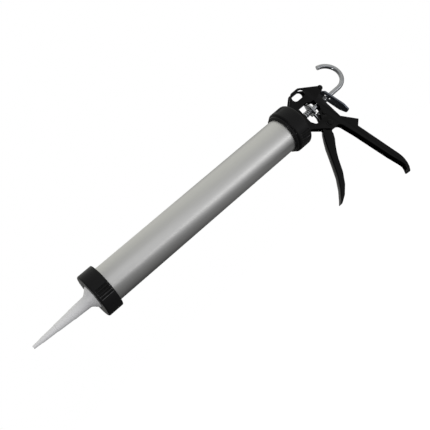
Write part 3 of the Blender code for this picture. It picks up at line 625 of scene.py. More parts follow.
class PatternTree:
    """A Geometry Nodes tree with named inputs for its sizes."""

    def __init__(self, name: str, sizes: dict[str, Any]) -> None:
        """Start the tree.

        Args:
            name: the tree's name.
            sizes: the value of each named input; its type gives the socket's.
        """
        self.tree = bpy.data.node_groups.new(name, "GeometryNodeTree")
        self.values: dict[str, Any] = {}
        face = self.tree.interface
        face.new_socket(name="Geometry", in_out="INPUT", socket_type="NodeSocketGeometry")
        face.new_socket(name="Geometry", in_out="OUTPUT", socket_type="NodeSocketGeometry")
        for label, value in sizes.items():
            kind = next(socket for known, socket in SOCKETS.items()
                        if isinstance(value, known))
            socket = face.new_socket(name=label, in_out="INPUT", socket_type=kind)
            self.values[socket.identifier] = value
        self.given = self.tree.nodes.new("NodeGroupInput")
        self.out = self.tree.nodes.new("NodeGroupOutput")

    def node(self, kind: str, inputs: dict[Any, Any] | None = None, **settings: Any
             ) -> bpy.types.Node:
        """Add a node to this tree, as add_node does."""
        return add_node(self.tree, kind, inputs, **settings)

    def size(self, label: str) -> bpy.types.NodeSocket:
        """The socket of a named input."""
        return self.given.outputs[label]

    def maths(self, operation: str, first: Any, second: Any = 0.0
              ) -> bpy.types.NodeSocket:
        """The result of a Math node on two numbers or sockets."""
        return self.node("ShaderNodeMath", {0: first, 1: second},
                         operation=operation).outputs[0]

    def ramp(self, value: Any, start: Any, end: Any, rise: Any) -> bpy.types.NodeSocket:
        """A value that climbs as another one goes from a start to an end.

        Args:
            value: the other value.
            start: where the climb starts.
            end: where it stops.
            rise: the value reached there, from 0.

        Returns:
            The climbing value's socket.
        """
        return self.node("ShaderNodeMapRange", {
            "Value": value, "From Min": start, "From Max": end,
            "To Min": 0.0, "To Max": rise}).outputs["Result"]

    def close(self, geometry: bpy.types.NodeSocket, material: str) -> None:
        """End the tree in Realize Instances and Set Material.

        Args:
            geometry: what the tree made.
            material: the named input that holds the material.
        """
        whole = self.node("GeometryNodeRealizeInstances", {"Geometry": geometry})
        dressed = self.node("GeometryNodeSetMaterial", {
            "Geometry": whole.outputs["Geometry"], "Material": self.size(material)})
        self.tree.links.new(dressed.outputs["Geometry"], self.out.inputs["Geometry"])

    def grow(self, obj: bpy.types.Object, sharp_degrees: float = SHARP_DEGREES
             ) -> bpy.types.Object:
        """Run the tree on an object and keep the result as its mesh.

        Args:
            obj: the object that the tree starts from.
            sharp_degrees: edges sharper than this stay sharp.

        Returns:
            The same object, as a plain mesh.
        """
        modifier = obj.modifiers.new(self.tree.name, "NODES")
        modifier.node_group = self.tree
        for identifier, value in self.values.items():
            modifier[identifier] = value
        baked(obj)
        material = next(value for value in self.values.values()
                        if isinstance(value, bpy.types.Material))
        bm = bmesh.new()
        bm.from_mesh(obj.data)
        tidy_normals(bm)
        for face in bm.faces:
            face.material_index = 0
        bm.to_mesh(obj.data)
        bm.free()
        obj.data.materials.clear()
        obj.data.materials.append(material)
        obj.data.shade_smooth()
        obj.data.set_sharp_from_angle(angle=math.radians(sharp_degrees))
        return obj


def empty_piece(name: str) -> bpy.types.Object:
    """An object with an empty mesh, for a tree that makes its own.

    Args:
        name: the object's name.

    Returns:
        The object.
    """
    obj = bpy.data.objects.new(name, bpy.data.meshes.new(name))
    bpy.context.scene.collection.objects.link(obj)
    return obj


@dataclass(frozen=True)
class Coil:
    """A coil spring, or a thread, round a line along X."""

    back: float
    front: float
    mean_radius: float
    wire_radius: float
    turns: float
    closed: bool = True                # end turns lie against their neighbours
    height: float = 0.0
    rings: int = 40                    # path points to a turn
    sides: int = 12

    def grow(self, name: str, material: bpy.types.Material) -> bpy.types.Object:
        """Make the coil with Geometry Nodes.

        Args:
            name: the piece's name.
            material: its material.

        Returns:
            The coil as a plain mesh.
        """
        turns = self.turns + (2.0 if self.closed else 0.0)
        pattern = PatternTree(name + "_coil", {
            "Turns": float(turns), "Mean Radius": self.mean_radius,
            "Wire Radius": self.wire_radius, "Length": self.front - self.back,
            "Start": self.back, "Height": self.height,
            "Dead Rise": self.wire_radius * DEAD_TURN_RISE if self.closed else 0.0,
            "Material": material})
        whole = pattern.node("GeometryNodeCurvePrimitiveLine", {"End": (1.0, 0.0, 0.0)})
        points = pattern.node("GeometryNodeResampleCurve", {
            "Curve": whole.outputs["Curve"], "Count": int(self.rings * turns) + 1})
        along = pattern.node("GeometryNodeSplineParameter").outputs["Factor"]
        angle = pattern.maths("MULTIPLY", pattern.maths(
            "MULTIPLY", along, pattern.size("Turns")), math.tau)
        first = pattern.maths("DIVIDE", 1.0, pattern.size("Turns"))
        last = pattern.maths("SUBTRACT", 1.0, first)
        dead = pattern.size("Dead Rise")
        inner = pattern.maths("SUBTRACT", pattern.size("Length"),
                              pattern.maths("MULTIPLY", pattern.size("Wire Radius"), 2.0))
        live = pattern.maths("SUBTRACT", inner, pattern.maths("MULTIPLY", dead, 2.0))
        if self.closed:
            rise = pattern.maths("ADD", pattern.ramp(along, 0.0, first, dead),
                                 pattern.ramp(along, first, last, live))
            rise = pattern.maths("ADD", rise, pattern.ramp(along, last, 1.0, dead))
        else:
            rise = pattern.ramp(along, 0.0, 1.0, live)
        x = pattern.maths("ADD", pattern.maths("ADD", rise, pattern.size("Start")),
                          pattern.size("Wire Radius"))
        y = pattern.maths("MULTIPLY", pattern.size("Mean Radius"),
                          pattern.maths("COSINE", angle))
        z = pattern.maths("ADD", pattern.size("Height"), pattern.maths(
            "MULTIPLY", pattern.size("Mean Radius"), pattern.maths("SINE", angle)))
        spot = pattern.node("ShaderNodeCombineXYZ", {"X": x, "Y": y, "Z": z})
        helix = pattern.node("GeometryNodeSetPosition", {
            "Geometry": points.outputs["Curve"], "Position": spot.outputs["Vector"]})
        ring = pattern.node("GeometryNodeCurvePrimitiveCircle", {
            "Resolution": self.sides, "Radius": pattern.size("Wire Radius")})
        wire = pattern.node("GeometryNodeCurveToMesh", {
            "Curve": helix.outputs["Geometry"], "Profile Curve": ring.outputs["Curve"],
            "Fill Caps": True})
        pattern.close(wire.outputs["Mesh"], "Material")
        return pattern.grow(empty_piece(name))


@dataclass(frozen=True)
class Grooves:
    """Groups of grooves along X, cut round a turned piece."""

    groups: int
    in_group: int
    pitch: float
    first: float                       # angle of the first groove, from +Y towards +Z
    circle: float                      # radius that the cutters stand on
    middle: float                      # X of the grooves' middle
    reach: float                       # length of a groove
    cutter_radius: float

    def cut(self, piece: bpy.types.Object, material: bpy.types.Material
            ) -> bpy.types.Object:
        """Cut the grooves with Geometry Nodes.

        Args:
            piece: the turned piece.
            material: the material it gets.

        Returns:
            The piece with its grooves, as a plain mesh.
        """
        half = self.reach / 2
        bend = self.cutter_radius
        soft = bend * CUTTER_ROUNDING
        corners = [(-half, 0.0, 0.0), (-half, bend, soft), (half, bend, soft),
                   (half, 0.0, 0.0)]
        cutter = turned(piece.name + "_cutter", rounded(corners, 4), 20, height=0.0)
        pattern = PatternTree(piece.name + "_grooves", {
            "Cutter": cutter, "Groups": self.groups, "Grooves": self.in_group,
            "Pitch": self.pitch, "First Angle": self.first, "Circle": self.circle,
            "Middle": self.middle, "Height": axis_height(), "Material": material})
        count = pattern.maths("MULTIPLY", pattern.size("Groups"), pattern.size("Grooves"))
        marks = pattern.node("GeometryNodeMeshLine", {"Count": count})
        index = pattern.node("GeometryNodeInputIndex").outputs["Index"]
        group = pattern.maths("FLOOR", pattern.maths("DIVIDE", index,
                                                     pattern.size("Grooves")))
        sector = pattern.maths("DIVIDE", math.tau, pattern.size("Groups"))
        inside = pattern.maths("MODULO", index, pattern.size("Grooves"))
        angle = pattern.maths("ADD", pattern.size("First Angle"), pattern.maths(
            "ADD", pattern.maths("MULTIPLY", group, sector),
            pattern.maths("MULTIPLY", inside, pattern.size("Pitch"))))
        y = pattern.maths("MULTIPLY", pattern.size("Circle"), pattern.maths("COSINE", angle))
        z = pattern.maths("ADD", pattern.size("Height"), pattern.maths(
            "MULTIPLY", pattern.size("Circle"), pattern.maths("SINE", angle)))
        spot = pattern.node("ShaderNodeCombineXYZ", {
            "X": pattern.size("Middle"), "Y": y, "Z": z})
        placed = pattern.node("GeometryNodeSetPosition", {
            "Geometry": marks.outputs["Mesh"], "Position": spot.outputs["Vector"]})
        shape = pattern.node("GeometryNodeObjectInfo", {"Object": pattern.size("Cutter")})
        copies = pattern.node("GeometryNodeInstanceOnPoints", {
            "Points": placed.outputs["Geometry"], "Instance": shape.outputs["Geometry"]})
        tools = pattern.node("GeometryNodeRealizeInstances",
                             {"Geometry": copies.outputs["Instances"]})
        cut = pattern.node("GeometryNodeMeshBoolean", {
            "Mesh 1": pattern.size("Geometry"), "Mesh 2": tools.outputs["Geometry"]},
            operation="DIFFERENCE", solver="EXACT")
        pattern.close(cut.outputs["Mesh"], "Material")
        pattern.grow(piece)
        bpy.data.objects.remove(cutter, do_unlink=True)
        return piece


@dataclass(frozen=True)
class RivetRing:
    """Equal rivets on a circle about the barrel's axis."""

    count: int
    circle: float

    def grow(self, name: str, rivet: bpy.types.Object, material: bpy.types.Material
             ) -> bpy.types.Object:
        """Place the rivets with Geometry Nodes.

        Args:
            name: the piece's name.
            rivet: one rivet on the line Y = Z = 0, removed here.
            material: the rivets' material.

        Returns:
            All the rivets as one plain mesh.
        """
        pattern = PatternTree(name + "_ring", {
            "Rivet": rivet, "Count": self.count, "Circle": self.circle,
            "Height": axis_height(), "Material": material})
        marks = pattern.node("GeometryNodeMeshLine", {"Count": pattern.size("Count")})
        index = pattern.node("GeometryNodeInputIndex").outputs["Index"]
        angle = pattern.maths("MULTIPLY", pattern.maths("ADD", index, 0.5), pattern.maths(
            "DIVIDE", math.tau, pattern.size("Count")))
        y = pattern.maths("MULTIPLY", pattern.size("Circle"), pattern.maths("COSINE", angle))
        z = pattern.maths("ADD", pattern.size("Height"), pattern.maths(
            "MULTIPLY", pattern.size("Circle"), pattern.maths("SINE", angle)))
        spot = pattern.node("ShaderNodeCombineXYZ", {"Y": y, "Z": z})
        placed = pattern.node("GeometryNodeSetPosition", {
            "Geometry": marks.outputs["Mesh"], "Position": spot.outputs["Vector"]})
        shape = pattern.node("GeometryNodeObjectInfo", {"Object": pattern.size("Rivet")})
        copies = pattern.node("GeometryNodeInstanceOnPoints", {
            "Points": placed.outputs["Geometry"], "Instance": shape.outputs["Geometry"]})
        pattern.close(copies.outputs["Instances"], "Material")
        made = pattern.grow(empty_piece(name))
        bpy.data.objects.remove(rivet, do_unlink=True)
        return made


# -------------------------------------------------------------------- sub-assemblies
@dataclass
class Workshop:
    """Puts finished pieces on their bodies, dressed in their finishes."""

    effects: Effects
    made: dict[str, bpy.types.Material] = field(default_factory=dict)

    def material(self, finish: str) -> bpy.types.Material:
        """The material of a named finish, built on first use.

        Args:
            finish: the finish's name.

        Returns:
            Its material.
        """
        if finish not in self.made:
            self.made[finish] = FINISHES[finish].material(self.effects)
        return self.made[finish]

    def fit(self, piece: bpy.types.Object, body: Body, finish: str, *nodes: str) -> None:
        """Dress a piece and let it stand for CAD nodes.

        Args:
            piece: the finished mesh.
            body: the body that it rides on.
            finish: the name of its finish.
            nodes: the CAD nodes that it replaces.
        """
        piece.data.materials.clear()
        piece.data.materials.append(self.material(finish))
        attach(piece, body.value)
        if nodes:
            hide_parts(*nodes)
        log.info("%s rides on %s, %d faces", piece.name, body.value,
                 len(piece.data.polygons))

    def dress(self, node: str, finish: str) -> None:
        """Give a CAD node that keeps its shape a better material.

        Args:
            node: the CAD node.
            finish: the name of its finish.
        """
        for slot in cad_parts[node].material_slots:
            slot.material = self.material(finish)
        log.info("%s keeps its shape, in %s", node, finish)


@dataclass
class Barrel:
    """The tube, its two thread ridges and the seal at its front."""

    wall: float = 1.5 * MM
    chamfer: float = 0.4 * MM
    thread_radius: float = 0.5 * MM
    thread_proud: float = 0.2 * MM
    thread_turns: int = 6
    thread_pitch: float = 2.5 * MM

    def build(self, shop: Workshop) -> None:
        """Make the tube and its threads.

        Args:
            shop: where the pieces are dressed.
        """
        tube = Span.of("barrel_tube")
        edge = self.chamfer
        inner = tube.radius - self.wall
        corners = [(tube.back, inner, edge), (tube.back, tube.radius, edge),
                   (tube.front, tube.radius, edge), (tube.front, inner, edge)]
        shop.fit(turned("barrel_shell", rounded(corners), 256), Body.BARREL,
                 "anodised_barrel", "barrel_tube")
        length = self.thread_turns * self.thread_pitch
        mean = tube.radius + self.thread_proud - self.thread_radius
        starts = {"rear_thread": tube.back + self.thread_pitch / 2,
                  "front_thread": tube.front - self.thread_pitch / 2 - length}
        starts["front_thread"] = max(starts["front_thread"],
                                     Span.of("front_cap").back + self.thread_pitch / 2)
        for name, start in starts.items():
            reach = min(length, tube.front - start - self.thread_pitch / 2)
            ridge = Coil(start, start + reach, mean, self.thread_radius,
                         reach / self.thread_pitch, closed=False,
                         height=axis_height(), rings=72, sides=8)
            shop.fit(ridge.grow(name, shop.material("anodised_barrel")), Body.BARREL,
                     "anodised_barrel")
        shop.dress("nozzle_seal", "soft_gasket")


@dataclass
class Caps:
    """The two screwed caps, with their groups of grooves."""

    play: float = 0.3 * MM
    groups: int = 3
    grooves: int = 4
    pitch: float = math.radians(7.5)
    groove_place: float = 0.35         # of the pitch, from a group's start
    groove_radius: float = 1.6 * MM
    groove_depth: float = 1.0 * MM
    rear_turn: float = math.radians(-47)
    front_turn: float = math.radians(-12)
    inside: float = 0.2 * MM           # rounding of the corners inside
    rear_rim: tuple[Triple, ...] = (   # place behind the front, height, rounding
        (0.0, 3.8 * MM, 0.9 * MM), (2.6 * MM, 4.2 * MM, 0.3 * MM),
        (3.4 * MM, 3.9 * MM, 0.3 * MM))
    rear_shoulder: tuple[float, float] = (4.4 * MM, 4.0 * MM)   # place, rounding
    rear_dome: float = 5.0 * MM        # rounding of the rear end
    neck_rounding: float = 0.4 * MM
    rear_grooves: tuple[float, float] = (4.0 * MM, 9.5 * MM)    # left out at back, front
    front_roundings: Triple = (0.5 * MM, 2.4 * MM, 1.2 * MM)    # mouth, front, back
    front_grooves: tuple[float, float] = (2.2 * MM, 3.4 * MM)

    def _grooves(self, turn: float, radius: float, start: float, end: float) -> Grooves:
        """Grooves of one cap.

        Args:
            turn: angle of the middle of the first group.
            radius: the cap's outer radius.
            start: rear end of the grooves.
            end: front end of the grooves.

        Returns:
            The grooves.
        """
        first = turn + self.pitch * (self.groove_place - self.grooves / 2)
        circle = radius - self.groove_depth + self.groove_radius
        return Grooves(self.groups, self.grooves, self.pitch, first, circle,
                       (start + end) / 2, end - start, self.groove_radius)

    def build(self, shop: Workshop) -> None:
        """Make both caps.

        Args:
            shop: where the pieces are dressed.
        """
        self.build_rear(shop)
        self.build_front(shop)

    def build_rear(self, shop: Workshop) -> None:
        """The rear cap: a thin front rim, a crease and a domed shoulder.

        Args:
            shop: where the pieces are dressed.
        """
        cap = Span.of("rear_cap")
        tube = Span.of("barrel_tube").radius
        neck = Span.of("hub_spacer").radius + 2 * self.play
        lip = Span.of("flange_disc").back - self.play
        bore = tube + self.play
        top = cap.radius
        place, bend = self.rear_shoulder
        corners = [(cap.front, bore, self.inside)]
        corners += [(cap.front - back, tube + height, soft)
                    for back, height, soft in self.rear_rim]
        corners += [(cap.front - place, top, bend), (cap.back, top, self.rear_dome),
                    (cap.back, neck, self.neck_rounding), (lip, neck, self.inside),
                    (lip, bore, self.inside)]
        piece = turned("rear_cap_shell", rounded(corners, 8), 240)
        rear = self._grooves(self.rear_turn, top, cap.back + self.rear_grooves[0],
                             cap.front - self.rear_grooves[1])
        rear.cut(piece, shop.material("moulded_black"))
        shop.fit(piece, Body.REAR_CAP, "moulded_black", "rear_cap")

    def build_front(self, shop: Workshop) -> None:
        """The front cap: a plain ring with a rounded front edge.

        Args:
            shop: where the pieces are dressed.
        """
        cap = Span.of("front_cap")
        bore = Span.of("barrel_tube").radius + self.play
        mouth = Nozzle.mouth + 2 * self.play
        lip = Span.of("nozzle_seal").front + self.play + Nozzle.flange + self.play
        top = cap.radius
        at_mouth, at_front, at_back = self.front_roundings
        corners = [(cap.back, bore, self.inside), (lip, bore, self.inside),
                   (lip, mouth, self.inside), (cap.front, mouth, at_mouth),
                   (cap.front, top, at_front), (cap.back, top, at_back)]
        piece = turned("front_cap_shell", rounded(corners, 8), 240)
        front = self._grooves(self.front_turn, top, cap.back + self.front_grooves[0],
                              cap.front - self.front_grooves[1])
        front.cut(piece, shop.material("moulded_black"))
        shop.fit(piece, Body.FRONT_CAP, "moulded_black", "front_cap")


@dataclass
class Nozzle:
    """The tapered nozzle, open from end to end."""

    mouth: float = 17.4 * MM
    flange: float = 2.5 * MM
    neck: float = 8.9 * MM
    tip: float = 2.4 * MM
    wall: float = 1.5 * MM
    steps: int = 3
    step: float = 0.4 * MM
    neck_run: float = 3.0 * MM         # straight length of the neck
    cone_rounding: float = 4.0 * MM
    soft: float = 1.0 * MM             # rounding of the wide corners
    edge: float = 0.3 * MM             # rounding of the narrow ones
    inside: float = 0.2 * MM
    last_step: float = 0.5             # of a step's length, left after the last one
    tip_share: float = 0.7             # of the wall, at the tip
    mouth_share: float = 0.6           # of the wall, at the mouth

    def outline(self) -> list[tuple[float, float, float]]:
        """Corners of the nozzle's section, with their roundings.

        Returns:
            (x, radius, rounding) of each corner.
        """
        whole = Span.of("nozzle")
        face = Span.of("front_cap").front
        flange_front = whole.back + self.flange
        cone_end = face + self.mouth - self.neck
        neck_end = cone_end + self.neck_run
        corners = [(whole.back, whole.radius, self.edge),
                   (flange_front, whole.radius, self.edge),
                   (flange_front, self.mouth, self.inside), (face, self.mouth, self.soft),
                   (cone_end, self.neck, self.cone_rounding)]
        run = whole.front - neck_end
        drop = self.neck - self.tip - self.steps * self.step
        for index in range(1, self.steps + 1):
            share = index / (self.steps + self.last_step)
            x = neck_end + run * share
            radius = self.neck - drop * share - self.step * (index - 1)
            corners += [(x, radius, self.edge),
                        (x + self.step, radius - self.step, self.edge)]
        bore = self.tip - self.wall * self.tip_share
        inner = self.mouth - self.wall * self.mouth_share
        corners += [(whole.front, self.tip, self.edge), (whole.front, bore, self.inside),
                    (neck_end, self.neck - self.wall, self.soft),
                    (face - self.wall, inner, self.soft), (whole.back, inner, self.inside)]
        return corners

    def build(self, shop: Workshop) -> None:
        """Make the nozzle.

        Args:
            shop: where the pieces are dressed.
        """
        piece = turned("nozzle_shell", rounded(self.outline(), 5), 160)
        shop.fit(piece, Body.NOZZLE, "translucent_nozzle", "nozzle")


def rivet_outline(back: float, front: float, shank: float, head: float, dome: float
                  ) -> Outline:
    """Section of a rivet with a domed head at each end.

    Args:
        back: outer end of the rear head.
        front: outer end of the front head.
        shank: radius of the shank.
        head: radius of the heads.
        dome: height of the heads.

    Returns:
        The outline, closed along the rivet's axis.
    """
    steps = 8
    rear = []
    for index in range(steps + 1):
        angle = math.pi / 2 * index / steps
        rear.append((back + dome * (1 - math.sin(angle)), head * math.cos(angle)))
    rear.reverse()
    fore = [(back + front - x, radius) for x, radius in reversed(rear)]
    return rear + [(back + dome, shank), (front - dome, shank)] + fore


@dataclass
class JointStack:
    """Disc, spacer and rivets between the barrel and the frame."""

    rivets: int = 4
    shank: float = 2.0 * MM
    dome: float = 1.8 * MM
    rounding: float = 0.3 * MM

    def build(self, shop: Workshop) -> None:
        """Round the edges of the disc and spacer and set the rivets.

        Args:
            shop: where the pieces are dressed.
        """
        disc = softened("disc_plate", ["flange_disc"], self.rounding)
        shop.fit(disc, Body.FRAME, "bright_plate", "flange_disc")
        spacer = softened("spacer_ring", ["hub_spacer"], self.rounding)
        shop.fit(spacer, Body.FRAME, "moulded_black", "hub_spacer")
        names = [f"flange_rivet_{index + 1}" for index in range(self.rivets)]
        one = Span.of(names[0])
        spot = centre_of(names[0])
        circle = math.hypot(spot.y, spot.z - axis_height())
        outline = rivet_outline(one.back, one.front, self.shank, one.radius, self.dome)
        rivet = turned("flange_rivet", outline, 48, height=0.0)
        ring = RivetRing(self.rivets, circle)
        piece = ring.grow("flange_rivets", rivet, shop.material("bright_plate"))
        shop.fit(piece, Body.FRAME, "bright_plate", *names)


@dataclass
class Frame:
    """The folded steel frame, with the pins that pass through it."""

    rounding: float = 0.35 * MM
    pins: tuple[tuple[str, str, float, float], ...] = (   # piece, node, shank, dome
        ("pivot_rivet", "trigger_pivot", 3.0 * MM, 1.5 * MM),
        ("upper_rivet", "stop_rivet", 2.0 * MM, 1.5 * MM),
        ("catch_rivet", "catch_pin", 1.7 * MM, 1.0 * MM))

    def pin(self, name: str, node: str, shank: float, dome: float, shop: Workshop
            ) -> None:
        """Make a domed pin across the frame in place of a CAD node.

        Args:
            name: the piece's name.
            node: the CAD node that it replaces.
            shank: radius of its shank.
            dome: height of its heads.
            shop: where it is dressed.
        """
        low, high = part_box(node)
        middle = centre_of(node)
        outline = rivet_outline(low.y, high.y, shank, (high.x - low.x) / 2, dome)
        piece = turned(name, outline, 64, height=0.0)
        turn = Matrix.Translation((middle.x, 0.0, middle.z)) @ Matrix.Rotation(
            math.pi / 2, 4, "Z")
        piece.data.transform(turn)
        shop.fit(piece, Body.FRAME, "gloss_black_paint", node)

    def build(self, shop: Workshop) -> None:
        """Make the frame and its rivets.

        Args:
            shop: where the pieces are dressed.
        """
        body = softened("frame_shell", ["frame_body"], self.rounding)
        shop.fit(body, Body.FRAME, "gloss_black_paint", "frame_body")
        for name, node, shank, dome in self.pins:
            self.pin(name, node, shank, dome, shop)


@dataclass
class Trigger:
    """The trigger, with the pin and bush at its nose."""

    rounding: float = 0.3 * MM
    pin_rounding: float = 0.25 * MM

    def build(self, shop: Workshop) -> None:
        """Round the trigger's edges and dress its pin and bush.

        Args:
            shop: where the pieces are dressed.
        """
        body = softened("trigger_shell", ["trigger"], self.rounding)
        shop.fit(body, Body.TRIGGER, "gloss_black_paint", "trigger")
        for name, node in (("nose_axle", "nose_pin"), ("nose_sleeve", "nose_bush")):
            piece = softened(name, [node], self.pin_rounding)
            shop.fit(piece, Body.TRIGGER, "bright_plate", node)


@dataclass
class Drive:
    """The gripping plate and the return spring."""

    wire: float = 1.1 * MM
    turns: int = 7
    rounding: float = 0.4 * MM

    def build(self, shop: Workshop) -> None:
        """Make the plate and wind its spring.

        Args:
            shop: where the pieces are dressed.
        """
        plate = softened("gripping_plate", ["drive_plate"], self.rounding)
        shop.fit(plate, Body.DRIVE_PLATE, "bright_plate", "drive_plate")
        whole = Span.of("return_spring")
        spring = Coil(whole.back, whole.front, whole.radius - self.wire / 2,
                      self.wire / 2, self.turns, height=axis_height())
        piece = spring.grow("trigger_spring", shop.material("bright_plate"))
        shop.fit(piece, Body.FRAME, "bright_plate", "return_spring")
        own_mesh(piece)


@dataclass
class Rod:
    """The push rod, with its hook and its threaded stud."""

    radius: float = 3.5 * MM
    hook: float = 24.0 * MM
    sweep: float = math.radians(168)
    lean: float = math.radians(15)
    stud_radius: float = 3.0 * MM
    stud_pitch: float = 1.0 * MM
    stud_cut: float = 0.3 * MM         # depth of the thread's root
    stud_end: float = 0.6 * MM         # rounding of its end
    stud_overlap: float = 1.0 * MM     # length of the stud inside the rod
    chamfer: float = 0.7 * MM
    steps: int = 72

    def path(self, shoulder: float) -> list[Vector]:
        """Centre line, from the shoulder back round the hook.

        Args:
            shoulder: X of the rod's front end.

        Returns:
            Points along the rod.
        """
        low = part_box("push_rod")[0]
        bend = low.x + self.radius + self.hook
        height = axis_height()
        points = [Vector((shoulder, 0.0, height)),
                  Vector(((shoulder + bend) / 2, 0.0, height))]
        for step in range(self.steps + 1):
            angle = self.sweep * step / self.steps
            rise = self.hook * (1 - math.cos(angle))
            points.append(Vector((bend - self.hook * math.sin(angle),
                                  -rise * math.sin(self.lean),
                                  height + rise * math.cos(self.lean))))
        return points

    def build(self, shop: Workshop) -> None:
        """Bend the rod and cut its stud.

        Args:
            shop: where the pieces are dressed.
        """
        shoulder = Span.of("piston_rear_washer").back - Caps.play
        rod = swept("hooked_rod", self.path(shoulder), self.radius, 40, self.chamfer)
        shop.fit(rod, Body.ROD, "bright_plate", "push_rod")
        end = Span.of("push_rod").front
        core = self.stud_radius - self.stud_cut
        root = shoulder - self.stud_overlap
        corners = [(root, 0.0, 0.0), (root, core, 0.0), (end, core, self.stud_end),
                   (end, 0.0, 0.0)]
        shop.fit(turned("stud_core", rounded(corners), 48), Body.ROD, "bright_plate")
        wire = self.stud_pitch * 0.4
        last = end - self.chamfer
        thread = Coil(shoulder, last, self.stud_radius - wire, wire,
                      (last - shoulder) / self.stud_pitch, closed=False,
                      height=axis_height(), rings=28, sides=8)
        shop.fit(thread.grow("stud_thread", shop.material("bright_plate")), Body.ROD,
                 "bright_plate")


@dataclass
class Piston:
    """The cup, washers and nut on the rod's stud."""

    lip: float = 2.2 * MM
    base: float = 3.0 * MM
    lead: float = 2.0 * MM             # slope of the cup's rear edge
    rounding: float = 0.3 * MM
    lip_share: float = 0.4             # of the lip's width, at its front edge

    def build(self, shop: Workshop) -> None:
        """Turn the cup and round the washers and nut.

        Args:
            shop: where the pieces are dressed.
        """
        cup = Span.of("piston_cup")
        hole = Rod.stud_radius + Caps.play
        inside = cup.radius - self.lip
        floor = cup.back + self.base
        corners = [(cup.back, hole, 0.2 * MM),
                   (cup.back, cup.radius - self.lead, 0.4 * MM),
                   (cup.back + self.lead, cup.radius, 0.8 * MM),
                   (cup.front, cup.radius, self.rounding),
                   (cup.front, inside + self.lip * self.lip_share, self.rounding),
                   (floor, inside, 1.2 * MM), (floor, hole, 0.2 * MM)]
        shop.fit(turned("piston_seal", rounded(corners), 160), Body.PISTON,
                 "natural_nylon", "piston_cup")
        for node in ("piston_rear_washer", "piston_front_washer", "piston_nut"):
            piece = softened(node + "_plated", [node], self.rounding)
            shop.fit(piece, Body.PISTON, "bright_plate", node)


@dataclass
class Catch:
    """The release plate and the small spring in front of it."""

    wire: float = 0.9 * MM
    turns: float = 2.5
    rounding: float = 0.45 * MM

    def build(self, shop: Workshop) -> None:
        """Round the plate's edges and wind its spring.

        Args:
            shop: where the pieces are dressed.
        """
        plate = softened("release_plate", ["release_catch"], self.rounding, 3)
        shop.fit(plate, Body.CATCH, "dull_zinc", "release_catch")
        whole = Span.of("catch_spring")
        spring = Coil(whole.back, whole.front, whole.radius - self.wire / 2,
                      self.wire / 2, self.turns, height=axis_height())
        shop.fit(spring.grow("release_spring", shop.material("bright_plate")),
                 Body.FRAME, "bright_plate", "catch_spring")


# ------------------------------------------------------------------------ the studio
@dataclass(frozen=True)
class Lamp:
    """A soft rectangular light that faces the gun."""

    name: str
    direction: Triple                  # from the gun's middle to the light
    distance: float
    width: float
    height: float
    power: float
    colour: Colour = (1.0, 1.0, 1.0)

    def place(self, target: Vector) -> None:
        """Hang the light, turned to its target.

        Args:
            target: the point it faces.
        """
        data = bpy.data.lights.new(self.name, "AREA")
        data.shape = "RECTANGLE"
        data.size = self.width
        data.size_y = self.height
        data.energy = self.power
        data.color = self.colour
        lamp = bpy.data.objects.new(self.name, data)
        away = Vector(self.direction).normalized()
        lamp.location = target + away * self.distance
        lamp.rotation_mode = "QUATERNION"
        lamp.rotation_quaternion = away.to_track_quat("Z", "Y")
        bpy.context.scene.collection.objects.link(lamp)


